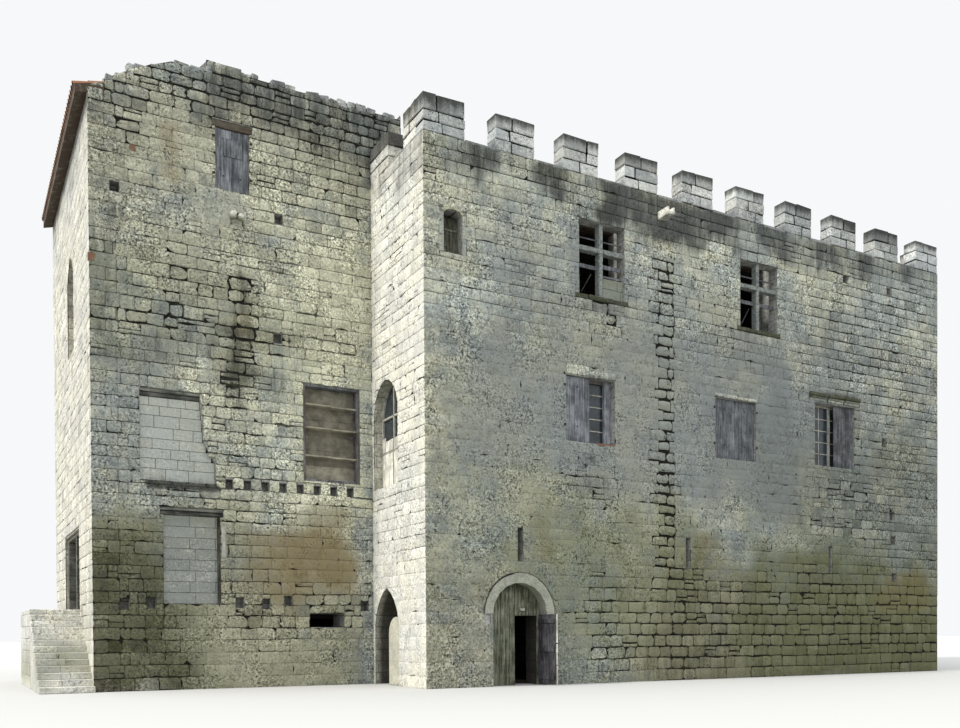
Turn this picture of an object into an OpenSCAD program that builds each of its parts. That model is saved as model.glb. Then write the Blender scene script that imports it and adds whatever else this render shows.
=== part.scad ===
// Castle keep of soft white limestone: a long block with battlements and a taller
// gabled wing set back at its left end. The sizes are millimetres. The main front
// faces -Y, +X runs to the right along it, and z = 0 is the doorway's threshold.
// The origin is on that level, under the middle of the whole building.

/* [Main block] */
// Length of the main front
front_len = 19870; // [19000:10:24000]
// Depth of the block and the wing's back line, from the main front
block_d = 12500; // [11500:10:16000]
// Thickness of the block's walls
wall_t = 1100; // [1000:10:1400]
// Height of the wall walk behind the battlements
head_z = 13000; // [12900:10:13400]
// Height of the low wall under the merlons
parapet_h = 1000; // [600:10:1400]
// Thickness of the low wall and the merlons
parapet_t = 450; // [300:10:600]

/* [Battlements] */
// Height of a merlon above the low wall
merlon_h = 950; // [600:10:1300]
// Width of a merlon on the front, right and back
merlon_w = 1140; // [800:10:1400]
// Merlons along the main front
front_merlon_count = 10; // [6:1:12]
// Merlons along the right side, with both corners
side_merlon_count = 7; // [5:1:8]
// End of the corner merlon along the left return
return_merlon_end = 1200; // [900:10:1500]
// Start of the second merlon on the left return
return_merlon_start = 2250; // [2000:10:2500]

/* [Floors] */
// Top of the block's first floor
first_floor_z = 5700; // [5400:10:6000]
// Top of the block's second floor
second_floor_z = 9900; // [9600:10:10200]
// Thickness of the upper floors
floor_t = 300; // [200:10:350]
// Thickness of the flags on the ground
flags_t = 100; // [60:5:150]
// Tops of the wing's four floors
wing_floor_z = [2100, 5000, 8700, 12000]; // [2100:10:12100]
// Thickness of the wing's floors
wing_floor_t = 250; // [200:10:300]

/* [Windows] */
// Depth of the narrow outer part of a window opening
reveal_d = 350; // [300:10:420]
// How much wider than the window the inner recess is, each side
splay = 250; // [150:10:350]
// Width of a cross window
cross_w = 1540; // [1300:10:1700]
// Height of a cross window
cross_h = 2050; // [1800:10:2200]
// Sill height of the cross windows
cross_sill_z = 10730; // [10600:10:10750]
// Centres of the two cross windows along the front
cross_x = [5430, 11350]; // [4900:10:12000]
// Width of the stone mullion and transom
cross_bar = 130; // [90:5:160]
// Depth of the stone mullion and transom
cross_bar_d = 200; // [150:10:250]
// Height of the transom's underside above the sill
transom_h = 1230; // [1100:10:1350]
// Width of the middle windows
mid_w = 1630; // [1400:10:1800]
// Height of the middle windows
mid_h = 1800; // [1600:10:2000]
// Sill height of the middle windows
mid_sill_z = 6650; // [6500:10:6800]
// Centres of the first two middle windows along the front
mid_x = [5025, 10380]; // [4900:5:10500]
// Centre of the third middle window, which is larger
third_x = 14700; // [14400:5:14900]
// Width of the third middle window
third_w = 1840; // [1600:10:1950]
// Height of the third middle window
third_h = 2000; // [1700:10:2100]
// Sill height of the third middle window
third_sill_z = 6780; // [6600:10:6850]
// Thickness of a shutter leaf
shutter_t = 40; // [25:1:60]
// Depth of the shutters behind the wall face
shutter_d = 40; // [20:1:90]
// Depth of the glazed casements behind the wall face
casement_d = 240; // [180:5:280]
// Width of a casement's frame
casement_bar = 60; // [45:1:90]
// Depth of a casement's frame
casement_t = 50; // [35:1:70]
// Thickness of the glass
glass_t = 6; // [4:1:12]
// Width of an arrow slit
slit_w = 180; // [120:5:220]
// Height of an arrow slit
slit_h = 900; // [700:10:1100]
// Sill height of the arrow slits
slit_z = 3300; // [3150:10:3400]
// Centres of the three arrow slits along the front
slit_x = [2745, 8490, 14490]; // [2600:5:15000]
// Centre of the small arched window
small_x = 800; // [750:5:900]
// Width of the small arched window
small_w = 530; // [400:5:600]
// Height of the small arched window to its crown
small_h = 1120; // [950:10:1250]
// Sill height of the small arched window
small_z = 11060; // [10900:10:11200]
// Rise of the small window's arch
small_rise = 120; // [80:5:180]
// Height of the stones in the first cross window's lower right light
half_wall_h = 560; // [300:10:900]
// Height of the projecting window sills
sill_h = 130; // [90:5:150]
// How far the window sills stand out
sill_out = 60; // [30:5:120]
// Depth of the window sills into the wall
sill_in = 280; // [250:5:290]
// Height of the drip mould over the third middle window
drip_h = 250; // [150:5:260]
// How far the drip mould stands out
drip_out = 120; // [60:5:180]
// Window centres on the right side, from the front
side_window_y = [4200, 8300]; // [4000:10:8700]

/* [Putlog holes] */
// Width of the holes left by scaffold poles
putlog_w = 230; // [180:5:260]
// Height of the putlog holes
putlog_h = 260; // [180:5:300]
// Depth of the putlog holes
putlog_d = 300; // [150:10:340]

/* [Left return] */
// Centre of the pointed openings, from the front
return_x = 2515; // [2450:5:2560]
// Width of the pointed openings
pointed_w = 1650; // [1500:10:1700]
// Radius of the pointed windows' arcs, as a share of their width
pointed_round = 0.56; // [0.52:0.01:1]
// Radius of the pointed doorway's arcs, as a share of its width
pointed_door_round = 0.76; // [0.7:0.01:1]
// Sill height of the pointed window
pointed_sill_z = 5430; // [5350:10:5700]
// Height of the pointed window to its apex
pointed_h = 2890; // [2600:10:3000]
// Height of the pointed doorway to its apex
pointed_door_h = 2640; // [2400:10:2800]
// Width of the round-topped pier in the pointed doorway
pier_w = 900; // [600:10:1000]
// Height of that pier
pier_h = 1860; // [1500:10:2000]
// How far that pier's face stands behind the wall face
pier_in = 60; // [20:10:400]
// Depth of the pointed window's bars behind the wall face
pointed_bar_d = 220; // [150:5:280]
// Width of the pointed window's bars
pointed_bar = 60; // [40:1:90]

/* [Doorway] */
// Left jamb of the arched doorway
doorway_x = 1900; // [1850:5:2000]
// Width of the arched doorway
doorway_w = 1660; // [1560:5:1740]
// Crown height of the arched doorway
doorway_h = 2740; // [2700:5:2900]
// Depth of the arch ring's stones above the doorway
ring_t = 270; // [200:5:330]
// Depth of the timber boarding behind the wall face
boarding_d = 300; // [250:5:350]
// Thickness of the timber boarding
boarding_t = 50; // [40:1:70]
// Width of the door opening in the boarding
door_w = 690; // [600:5:720]
// Height of the door opening in the boarding
door_h = 1870; // [1750:5:1880]
// Thickness of the door leaf
leaf_t = 35; // [28:1:45]
// Gap under the door leaf
leaf_foot = 20; // [12:1:40]
// How far the door leaf laps over the boarding
leaf_lap = 60; // [30:5:100]
// Angle that the door leaf stands open
door_open = 100; // [0:1:105]
// Clearance between the leaf and the boarding
door_gap = 6; // [5:1:10]
// Radius of the hinge pins
pin_r = 8; // [6:0.5:12]
// Height of a hinge strap
strap_h = 50; // [35:1:70]
// Thickness of a hinge strap
strap_t = 6; // [4:1:8]

/* [Wing] */
// Width of the wing to the left of the block
wing_w = 7310; // [7200:10:8000]
// How far the wing's front is set back
wing_y = 3500; // [3450:10:3600]
// Thickness of the wing's walls
wing_t = 900; // [800:10:900]
// Height of the wing's front wall
wing_top_z = 16200; // [16150:10:16600]
// Height of the eaves at the wing's outer walls
wing_eave_z = 14600; // [14500:10:14650]
// How far the left eave stands out
eave_out = 300; // [150:10:450]
// Pitch of the wing's roof
wing_pitch = 16; // [13:0.5:16.5]
// Thickness of the tiled roofs, measured upright
roof_t = 210; // [150:5:260]
// Pitch of the block's roof
main_pitch = 17; // [12:0.5:20]
// Spacing of the rows of cover tiles
tile_pitch = 210; // [200:5:240]
// Radius of a row of cover tiles
tile_r = 74; // [60:1:85]

/* [Wing openings] */
// Left edge of the top window, from the block's corner
top_window_x = -4290; // [-4400:5:-4200]
// Width of the top window
top_window_w = 870; // [700:5:950]
// Height of the top window
top_window_h = 1600; // [1500:10:1750]
// Sill height of the top window
top_window_z = 12960; // [12500:10:13000]
// Height of the timber lintels
lintel_h = 200; // [140:5:220]
// Depth of the timber lintels into the wall
lintel_d = 300; // [200:10:400]
// Left edge of the upper blocked window
upper_block_x = -6210; // [-6300:5:-6100]
// Width of the upper blocked window at its head
upper_block_w = 1470; // [1400:5:1550]
// Sill height of the upper blocked window
upper_block_z = 5300; // [5200:10:5400]
// Height of the upper blocked window
upper_block_h = 2100; // [2000:10:2150]
// How much wider the broken edge is at the upper blocked window's foot
upper_block_flare = 380; // [200:10:420]
// Left edge of the lower blocked window
lower_block_x = -5670; // [-5750:5:-5600]
// Width of the lower blocked window
lower_block_w = 1420; // [1300:5:1480]
// Sill height of the lower blocked window
lower_block_z = 2200; // [2150:10:2300]
// Height of the lower blocked window
lower_block_h = 2250; // [2100:10:2300]
// Thickness of the blockwork in the blocked windows
block_t = 200; // [150:10:300]
// Depth of the blockwork behind the wall face
block_in = 60; // [20:5:120]
// Left edge of the shelf niche
niche_x = -2010; // [-2050:5:-1900]
// Width of the shelf niche
niche_w = 1620; // [1500:5:1700]
// Height of the shelf niche
niche_h = 2640; // [2300:10:2700]
// Underside of the shelf niche
niche_z = 5580; // [5500:10:5750]
// Depth of the shelf niche
niche_d = 320; // [200:10:400]
// Thickness of the niche's boards
board_t = 60; // [40:1:120]
// Heights of the shelves above the niche's underside
shelf_h = [710, 1480, 2110]; // [500:10:2300]
// Left edge of the low vent
vent_x = -1870; // [-1950:5:-1800]
// Width of the low vent
vent_w = 990; // [800:5:1050]
// Height of the low vent
vent_h = 380; // [250:5:420]
// Underside of the low vent
vent_z = 1590; // [1300:10:1600]
// Number of joist pockets under the niche
pocket_count = 8; // [4:1:8]
// Spacing of the joist pockets
pocket_pitch = 475; // [400:5:490]
// Width of a joist pocket
pocket_w = 200; // [150:5:240]
// Height of a joist pocket
pocket_h = 260; // [180:5:300]
// Depth of a joist pocket
pocket_d = 250; // [150:10:400]
// Left edge of the first joist pocket
pocket_x = -4110; // [-4150:5:-4050]
// Underside of the joist pockets
pocket_z = 5200; // [5150:10:5250]
// Width of the corbel block under the top window
corbel_w = 330; // [250:5:400]
// How far the corbel block's underside lies below the top window
corbel_drop = 860; // [700:10:1000]
// How far the corbel block's middle lies right of the top window's
corbel_shift = 100; // [0:10:200]
// How far the corbel block stands out
corbel_out = 150; // [80:5:250]
// Width of the stone water spout
spout_w = 260; // [200:5:320]
// Height of the stone water spout
spout_h = 220; // [160:5:260]
// How far the water spout stands out
spout_out = 500; // [300:10:700]
// Centre of the water spout along the front
spout_x = 7530; // [7430:10:7650]
// Height of the water spout above the wall walk
spout_rise = 300; // [200:10:330]

/* [Left side] */
// Near edge of the side doorway, from the main front
side_door_y = 6200; // [6000:10:6400]
// Width of the side doorway
side_door_w = 3600; // [3000:10:3700]
// Height of the side doorway
side_door_h = 2200; // [2000:10:2300]
// Size of the side doorway's posts
post_w = 120; // [90:5:160]
// Centre of the tall pointed window, from the main front
tall_y = 7700; // [7500:10:8200]
// Width of the tall pointed window
tall_w = 1500; // [1200:10:1650]
// Height of the tall pointed window to its apex
tall_h = 2650; // [2400:10:2700]
// Sill height of the tall pointed window
tall_z = 9300; // [9200:10:9350]
// Width of the outside steps
steps_w = 1240; // [1000:10:1500]
// Number of risers up to the landing
riser_count = 13; // [12:1:13]
// Going of a step
going = 240; // [200:5:245]

/* [Hidden] */

stone = "#a9a89a";
pale_stone = "#c8c4b4";
new_stone = "#d2ccbb";
tile = "#8d7567";
timber = "#77707a";
dark_timber = "#4a4442";
iron = "#3b3634";
block_grey = "#9b9b95";
plaster = "#b7ab8c";
pane = "#8fa6ad";

// Centres of the putlog holes, along the front and up, in the block and the wing
block_putlogs = [[15200, 12980], [17350, 12950], [17090, 7800], [17490, 5340], [17540, 4500], [17590, 3240]];
wing_putlogs = [
    [-2640, 12500], [-2690, 9320], [-6740, 12450], [-6600, 2170], [-5970, 2200],
    [-3760, 2240], [-3060, 2220], [-2460, 2300], [-280, 2180]
];
// Extra length that carries a cut past a face
over = 20;
// Gap left at curved and sloping faces that meet
curve_gap = 0.3;
doorway_r = doorway_w / 2;
doorway_mid = doorway_x + doorway_r;
doorway_end = doorway_x + doorway_w;
spring_z = doorway_h - doorway_r;
sill_top_z = head_z + parapet_h;
merlon_pitch = (front_len - merlon_w) / (front_merlon_count - 1);
side_pitch = (block_d - merlon_w) / (side_merlon_count - 1);
landing_z = wing_floor_z[0];
riser = landing_z / riser_count;
centre_x = (front_len + sill_out - wing_w - steps_w) / 2;
// The block's roof bears on its walls from the line of the wing's wall
roof_bearing = wall_t - wing_t;
roof_x0 = wing_t;
roof_x1 = front_len - roof_x0;
roof_y0 = roof_x0;
roof_y1 = block_d - roof_y0;
roof_run = (roof_y1 - roof_y0) / 2;
main_slope = tan(main_pitch);
wing_slope = tan(wing_pitch);
wing_ridge_x = (wing_t - wing_w) / 2;
wing_ridge_z = wing_eave_z + (wing_ridge_x + wing_w) * wing_slope;
wing_back_in = block_d - wing_t;
// The wing's broken front top, as steps from its left end and drops below its height
broken_top = [
    [360, 1200], [810, 880], [1340, 580], [1940, 300], [2610, 280], [2850, 0], [3200, 0], [3900, 140]
];
corner_tile = broken_top[0][0];

// Hinge line of the door
hinge_edge = 30;
strap_len = 560;
strap_heights = [300, 1560];
door_x0 = doorway_end - 130 - door_w;
hinge_x = door_x0 + door_w + hinge_edge;
hinge_y = boarding_d - door_gap - leaf_t - strap_t / 2;
leaf_w = door_w + leaf_lap;
leaf_top = door_h + leaf_lap / 2;
batten_t = 28;
batten_h = 120;
batten_inset = 22;
eye_r = 14;
pin_play = 0.4;
// How far the open leaf's corners stand out in front of the wall
leaf_reach = (hinge_edge + leaf_w) * sin(door_open) - hinge_y
    + max(-cos(door_open) * (strap_t / 2 + leaf_t), cos(door_open) * strap_t / 2);
centre_y = (block_d + sill_out - max(leaf_reach, spout_out, drip_out)) / 2;

// The whole building is drawn from its front left corner and then moved here
module placed() { translate([-centre_x, -centre_y, 0]) children(); }

// A profile drawn in X and Z, given a thickness along Y
module along_y(y0, t) {
    translate([0, y0 + t, 0]) rotate([90, 0, 0]) linear_extrude(t) children();
}

// A profile drawn in Y and Z, given a thickness along X
module along_x(x0, t) {
    translate([x0, 0, 0]) rotate([90, 0, 90]) linear_extrude(t) children();
}

// Places for what is drawn with its centre at x = 0 and its depth along +Y
module on_front(x, z) { translate([x, 0, z]) children(); }
module on_back(x, z) { translate([x, block_d, z]) rotate(180) children(); }
module on_right(y, z) { translate([front_len, y, z]) rotate(90) children(); }
module on_return(y, z) { translate([0, y, z]) rotate(-90) children(); }
module on_wing_front(x, z) { translate([x, wing_y, z]) children(); }
module on_wing_left(y, z) { translate([-wing_w, y, z]) rotate(-90) children(); }

// A pointed arch on two arcs, whose radius is a share of the width
module pointed_shape(w, h, share, gap = 0) {
    arc_r = share * w;
    spring = h - w * sqrt(share - 0.25);
    translate([-w / 2, 0]) square([w, spring]);
    intersection() {
        translate([w / 2 - arc_r, spring]) circle(r = arc_r - gap, $fn = 96);
        translate([arc_r - w / 2, spring]) circle(r = arc_r - gap, $fn = 96);
        translate([-w / 2, spring]) square([w, w]);
    }
}

// The doorway's outline, a half round on upright jambs
module doorway_shape(r) {
    translate([doorway_x, 0]) square([doorway_w, spring_z]);
    intersection() {
        translate([doorway_mid, spring_z]) circle(r = r, $fn = 96);
        translate([doorway_mid - r, spring_z]) square([2 * r, r]);
    }
}

// The half round that the arch ring fills, with the doorway under it
module ring_shape() {
    intersection() {
        translate([doorway_mid, spring_z]) circle(r = doorway_r + ring_t, $fn = 96);
        translate([doorway_mid - doorway_r - ring_t, spring_z])
            square([2 * (doorway_r + ring_t), doorway_r + ring_t]);
    }
}

// The small window's outline, with a flat arch
module small_shape() {
    arch_r = (pow(small_w / 2, 2) + pow(small_rise, 2)) / (2 * small_rise);
    intersection() {
        translate([-small_w / 2, 0]) square([small_w, small_h]);
        union() {
            translate([0, small_h - arch_r]) circle(r = arch_r, $fn = 128);
            translate([-arch_r, -over]) square([2 * arch_r, small_h - arch_r + over]);
        }
    }
}

// A square window through a wall, with a wider recess inside
module window_hole(w, h, t) {
    translate([-w / 2, -over, 0]) cube([w, t + 2 * over, h]);
    translate([-w / 2 - splay, reveal_d, 0]) cube([w + 2 * splay, t, h + splay]);
}

module pointed_hole(w, h, share, t) {
    along_y(-over, t + 2 * over) pointed_shape(w, h, share);
}

module sill_block(w) {
    translate([-w / 2 - sill_h, -sill_out, -sill_h]) cube([w + 2 * sill_h, sill_out + sill_in, sill_h]);
}

module drip_block() {
    translate([-third_w / 2 - drip_h, -drip_out, third_h + drip_h / 3])
        cube([third_w + 2 * drip_h, drip_out + reveal_d / 2, drip_h]);
}

// Where the repeated windows stand
module on_cross_windows(front = true, right = true, back = true) {
    if (front) for (x = cross_x) on_front(x, cross_sill_z) children();
    if (right) for (y = side_window_y) on_right(y, cross_sill_z) children();
    if (back) for (x = cross_x) on_back(x, cross_sill_z) children();
}

module on_mid_windows(front = true, right = true, back = true) {
    if (front) for (x = mid_x) on_front(x, mid_sill_z) children();
    if (right) for (y = side_window_y) on_right(y, mid_sill_z) children();
    if (back) for (x = concat(mid_x, third_x)) on_back(x, mid_sill_z) children();
}

module on_third_window() { on_front(third_x, third_sill_z) children(); }

// Blind holes in a wall whose face is at y0
module putlog_holes(places, y0) {
    for (p = places) translate([p.x - putlog_w / 2, y0 - over, p.y - putlog_h / 2])
        cube([putlog_w, putlog_d + over, putlog_h]);
}

module cross_hole() {
    window_hole(cross_w, cross_h, wall_t);
    sill_block(cross_w);
}

module front_holes() {
    on_cross_windows(right = false, back = false) cross_hole();
    on_mid_windows(right = false, back = false) window_hole(mid_w, mid_h, wall_t);
    on_third_window() {
        window_hole(third_w, third_h, wall_t);
        drip_block();
    }
    for (x = slit_x) on_front(x, slit_z) window_hole(slit_w, slit_h, wall_t);
    on_front(small_x, small_z) along_y(-over, wall_t + 2 * over) small_shape();
    along_y(-over, wall_t + 2 * over) doorway_shape(doorway_r);
    along_y(-over, wall_t + 2 * over) ring_shape();
    putlog_holes(block_putlogs, 0);
}

module front_wall_part(x0, x1) {
    color(stone) placed() difference() {
        translate([x0, 0, 0]) cube([x1 - x0, wall_t, head_z]);
        front_holes();
    }
}

module front_wall_left() { front_wall_part(0, doorway_x); }
module front_wall_over_doorway() { front_wall_part(doorway_x, doorway_end); }
module front_wall_right() { front_wall_part(doorway_end, front_len); }

module doorway_arch() {
    color(pale_stone) placed() along_y(0, wall_t) difference() {
        ring_shape();
        translate([doorway_mid, spring_z]) circle(r = doorway_r, $fn = 96);
    }
}

// The wall between the block and the wing, with the return at its front end
module left_wall() {
    color(pale_stone) placed() difference() {
        translate([0, wall_t, 0]) cube([wall_t, block_d - 2 * wall_t, head_z]);
        on_return(return_x, pointed_sill_z) pointed_hole(pointed_w, pointed_h, pointed_round, wall_t);
        on_return(return_x, 0) translate([0, 0, -over])
            pointed_hole(pointed_w, pointed_door_h + over, pointed_door_round, wall_t);
    }
}

module right_wall() {
    color(stone) placed() difference() {
        translate([front_len - wall_t, wall_t, 0]) cube([wall_t, block_d - 2 * wall_t, head_z]);
        on_cross_windows(front = false, back = false) cross_hole();
        on_mid_windows(front = false, back = false) window_hole(mid_w, mid_h, wall_t);
        on_right(block_d / 2, slit_z) window_hole(slit_w, slit_h, wall_t);
    }
}

module back_wall() {
    color(stone) placed() difference() {
        translate([0, block_d - wall_t, 0]) cube([front_len, wall_t, head_z]);
        on_cross_windows(front = false, right = false) cross_hole();
        on_mid_windows(front = false, right = false) window_hole(mid_w, mid_h, wall_t);
        for (x = [slit_x[1], slit_x[2]]) on_back(x, slit_z) window_hole(slit_w, slit_h, wall_t);
    }
}

module front_parapet() {
    color(stone) placed() difference() {
        translate([0, 0, head_z]) cube([front_len, parapet_t, parapet_h]);
        spout_block();
        putlog_holes(block_putlogs, 0);
    }
}

module left_parapet() {
    color(pale_stone) placed()
        translate([0, parapet_t, head_z]) cube([parapet_t, wing_y - parapet_t, parapet_h]);
}

module right_parapet() {
    color(stone) placed() translate([front_len - parapet_t, parapet_t, head_z])
        cube([parapet_t, block_d - 2 * parapet_t, parapet_h]);
}

module back_parapet() {
    color(stone) placed() translate([wing_t, block_d - parapet_t, head_z])
        cube([front_len - wing_t, parapet_t, parapet_h]);
}

module merlon(x, y, size_x, size_y) {
    translate([x, y, sill_top_z]) cube([size_x, size_y, merlon_h]);
}

module front_merlons() {
    color(new_stone) placed() for (i = [0 : front_merlon_count - 1])
        merlon(i * merlon_pitch, 0, merlon_w, parapet_t);
}

module left_merlons() {
    color(new_stone) placed() {
        merlon(0, parapet_t, parapet_t, return_merlon_end - parapet_t);
        merlon(0, return_merlon_start, parapet_t, wing_y - return_merlon_start);
    }
}

// The corner merlons turn, so their side legs start behind the front ones
module right_merlons() {
    color(stone) placed() for (i = [0 : side_merlon_count - 1]) {
        y0 = max(i * side_pitch, parapet_t);
        y1 = min(i * side_pitch + merlon_w, block_d - parapet_t);
        merlon(front_len - parapet_t, y0, parapet_t, y1 - y0);
    }
}

module back_merlons() {
    color(stone) placed() for (i = [1 : front_merlon_count - 1])
        merlon(i * merlon_pitch, block_d - parapet_t, merlon_w, parapet_t);
}

// Rows of cover tiles as ribs up a slope, drawn from its left end at the eave and stopped short of the ridge
module tile_ribs(width, run, pitch) {
    rows = floor(width / tile_pitch);
    step = width / rows;
    stop = tile_r;
    length = run / cos(pitch) - stop;
    translate([0, length * cos(pitch), length * sin(pitch)]) rotate([90 + pitch, 0, 0])
        linear_extrude(length) polygon(concat(
            [[0, -tile_r], [width, -tile_r]],
            [for (i = [rows - 1 : -1 : 0]) for (a = [-15 : 52.5 : 195])
                [(i + 0.5) * step + tile_r * cos(a), tile_r * sin(a)]]
        ));
}

// A solid hipped roof whose eaves stand in from the bearing by inset
module main_roof_solid(inset) {
    len_x = roof_x1 - roof_x0 - 2 * inset;
    len_y = roof_y1 - roof_y0 - 2 * inset;
    half = len_y / 2;
    edge = inset > 0 ? 0 : roof_t;
    rise = half * main_slope;
    translate([roof_x0 + inset, roof_y0 + inset, head_z]) intersection() {
        along_x(0, len_x) polygon([[0, 0], [0, edge], [half, edge + rise], [len_y, edge], [len_y, 0]]);
        along_y(0, len_y) polygon([
            [0, 0], [0, edge], [half, edge + rise], [len_x - half, edge + rise], [len_x, edge], [len_x, 0]
        ]);
    }
}

// The tiled sheet inside one plan outline, between upright mitres at the hips. Its ribs start at
// the corner of the eaves and run along a side of the given length, turned by an angle.
module main_roof_part(outline, corner, turn, side) {
    color(tile) placed() intersection() {
        union() {
            difference() {
                main_roof_solid(0);
                main_roof_solid(roof_bearing);
            }
            translate([corner.x, corner.y, head_z + roof_t]) rotate(turn)
                tile_ribs(side, roof_run, main_pitch);
        }
        translate([0, 0, head_z]) linear_extrude(roof_run) polygon(outline);
    }
}

module main_roof_front() {
    main_roof_part([
        [roof_x0, roof_y0], [roof_x1, roof_y0],
        [roof_x1 - roof_run, roof_y0 + roof_run], [roof_x0 + roof_run, roof_y0 + roof_run]
    ], [roof_x0, roof_y0], 0, roof_x1 - roof_x0);
}

module main_roof_back() {
    main_roof_part([
        [roof_x0, roof_y1], [roof_x1, roof_y1],
        [roof_x1 - roof_run, roof_y0 + roof_run], [roof_x0 + roof_run, roof_y0 + roof_run]
    ], [roof_x1, roof_y1], 180, roof_x1 - roof_x0);
}

module main_roof_hips() {
    main_roof_part([[roof_x0, roof_y0], [roof_x0 + roof_run, roof_y0 + roof_run], [roof_x0, roof_y1]],
        [roof_x0, roof_y1], -90, roof_y1 - roof_y0);
    main_roof_part([[roof_x1, roof_y0], [roof_x1 - roof_run, roof_y0 + roof_run], [roof_x1, roof_y1]],
        [roof_x1, roof_y0], 90, roof_y1 - roof_y0);
}

module main_floors() {
    inside = [front_len - 2 * wall_t, block_d - 2 * wall_t];
    color(dark_timber) placed() {
        translate([wall_t, wall_t, 0]) cube([inside.x, inside.y, flags_t]);
        for (z = [first_floor_z, second_floor_z])
            translate([wall_t, wall_t, z - floor_t]) cube([inside.x, inside.y, floor_t]);
    }
}

// Underside of the wing's roof above a place between its two eaves
function wing_under(x) = wing_ridge_z - abs(x - wing_ridge_x) * wing_slope;

module wing_gable(top_points) {
    polygon(concat(
        [[-wing_w, wing_under(-wing_w)], [-wing_w, 0], [0, 0], [0, head_z], [wing_t, head_z]],
        top_points
    ));
}

module top_window_place(z = top_window_z) { on_wing_front(top_window_x + top_window_w / 2, z) children(); }

// A lintel bears on the wall for its own height past both sides of the opening
module lintel_block(w, side = 0.4) {
    translate([-w / 2 - side * lintel_h, 0, 0]) cube([w + 2 * side * lintel_h, lintel_d, lintel_h]);
}

module lintels() {
    top_window_place(top_window_z + top_window_h) lintel_block(top_window_w);
    on_wing_front(upper_block_x + upper_block_w / 2, upper_block_z + upper_block_h)
        lintel_block(upper_block_w, 0);
    on_wing_front(lower_block_x + lower_block_w / 2, lower_block_z + lower_block_h)
        lintel_block(lower_block_w);
    on_back(wing_ridge_x, top_window_z + top_window_h) lintel_block(top_window_w);
}

module upper_block_shape() {
    polygon([
        [upper_block_x, upper_block_z], [upper_block_x, upper_block_z + upper_block_h],
        [upper_block_x + upper_block_w, upper_block_z + upper_block_h],
        [upper_block_x + upper_block_w + upper_block_flare / 4, upper_block_z + upper_block_h / 2],
        [upper_block_x + upper_block_w + upper_block_flare, upper_block_z + upper_block_h / 4],
        [upper_block_x + upper_block_w + upper_block_flare, upper_block_z]
    ]);
}

module lower_block_shape() {
    translate([lower_block_x, lower_block_z]) square([lower_block_w, lower_block_h]);
}

module niche_block() {
    translate([niche_x, wing_y, niche_z]) cube([niche_w, niche_d, niche_h]);
}

module corbel_block() {
    top_window_place(top_window_z - corbel_drop) translate([corbel_shift, -corbel_out, 0])
        cube([corbel_w, corbel_out + lintel_d, corbel_w]);
}

module spout_block() {
    translate([spout_x - spout_w / 2, -spout_out, head_z + spout_rise])
        cube([spout_w, spout_out + parapet_t, spout_h]);
}

module wing_front_wall() {
    color(stone) placed() difference() {
        along_y(wing_y, wing_t) wing_gable(concat(
            [[wing_t, wing_top_z - broken_top[len(broken_top) - 1][1]]],
            [for (i = [len(broken_top) - 1 : -1 : 0])
                [-wing_w + broken_top[i][0], wing_top_z - broken_top[i][1]]],
            [[-wing_w + corner_tile, wing_under(-wing_w + corner_tile)]]
        ));
        top_window_place() window_hole(top_window_w, top_window_h, wing_t);
        along_y(wing_y - over, wing_t + 2 * over) upper_block_shape();
        along_y(wing_y - over, wing_t + 2 * over) lower_block_shape();
        lintels();
        niche_block();
        corbel_block();
        translate([vent_x, wing_y - over, vent_z]) cube([vent_w, wing_t + 2 * over, vent_h]);
        for (i = [0 : pocket_count - 1])
            translate([pocket_x + i * pocket_pitch, wing_y - over, pocket_z])
                cube([pocket_w, pocket_d + over, pocket_h]);
        putlog_holes(wing_putlogs, wing_y);
    }
}

module side_opening() {
    translate([-wing_w - over, side_door_y, landing_z]) cube([wing_t + 2 * over, side_door_w, side_door_h]);
}

module wing_left_wall() {
    color(pale_stone) placed() difference() {
        along_y(wing_y + wing_t, wing_back_in - wing_y - wing_t) polygon([
            [-wing_w, 0], [-wing_w + wing_t, 0],
            [-wing_w + wing_t, wing_under(-wing_w + wing_t)], [-wing_w, wing_under(-wing_w)]
        ]);
        side_opening();
        on_wing_left(tall_y, tall_z) pointed_hole(tall_w, tall_h, pointed_round, wing_t);
    }
}

module wing_back_wall() {
    color(stone) placed() difference() {
        along_y(wing_back_in, wing_t) intersection() {
            wing_gable([[wing_t, wing_under(wing_t)], [wing_ridge_x, wing_ridge_z]]);
            translate([-wing_w, 0]) square([wing_w + wing_t, wing_top_z]);
        }
        on_back(wing_ridge_x, top_window_z) window_hole(top_window_w, top_window_h, wing_t);
        on_back(wing_ridge_x, mid_sill_z) window_hole(mid_w, mid_h, wing_t);
        lintels();
    }
}

// The wing's right wall stands on the block's left wall
module wing_right_wall() {
    color(stone) placed() along_y(wing_y + wing_t, wing_back_in - wing_y - wing_t) polygon([
        [0, head_z], [wing_t, head_z], [wing_t, wing_under(wing_t)], [0, wing_under(0)]
    ]);
}

// One slope of the wing's roof from its eave to a place higher up
module wing_slope_part(eave, top, y0, y1) {
    left = eave < top;
    color(tile) placed() union() {
        along_y(y0, y1 - y0) polygon([
            [eave, wing_under(eave) + curve_gap], [top, wing_under(top) + curve_gap],
            [top, wing_under(top) + roof_t], [eave, wing_under(eave) + roof_t]
        ]);
        translate([eave, left ? y1 : y0, wing_under(eave) + roof_t]) rotate(left ? -90 : 90)
            tile_ribs(y1 - y0, abs(top - eave), wing_pitch);
    }
}

module wing_roof_left() {
    union() {
        wing_slope_part(-wing_w - eave_out, wing_ridge_x, wing_y + wing_t, block_d);
        wing_slope_part(-wing_w - eave_out, -wing_w + corner_tile, wing_y - over, wing_y + wing_t);
    }
}

module wing_roof_right() {
    wing_slope_part(wing_t + eave_out / 2, wing_ridge_x, wing_y + wing_t, block_d);
}

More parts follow.
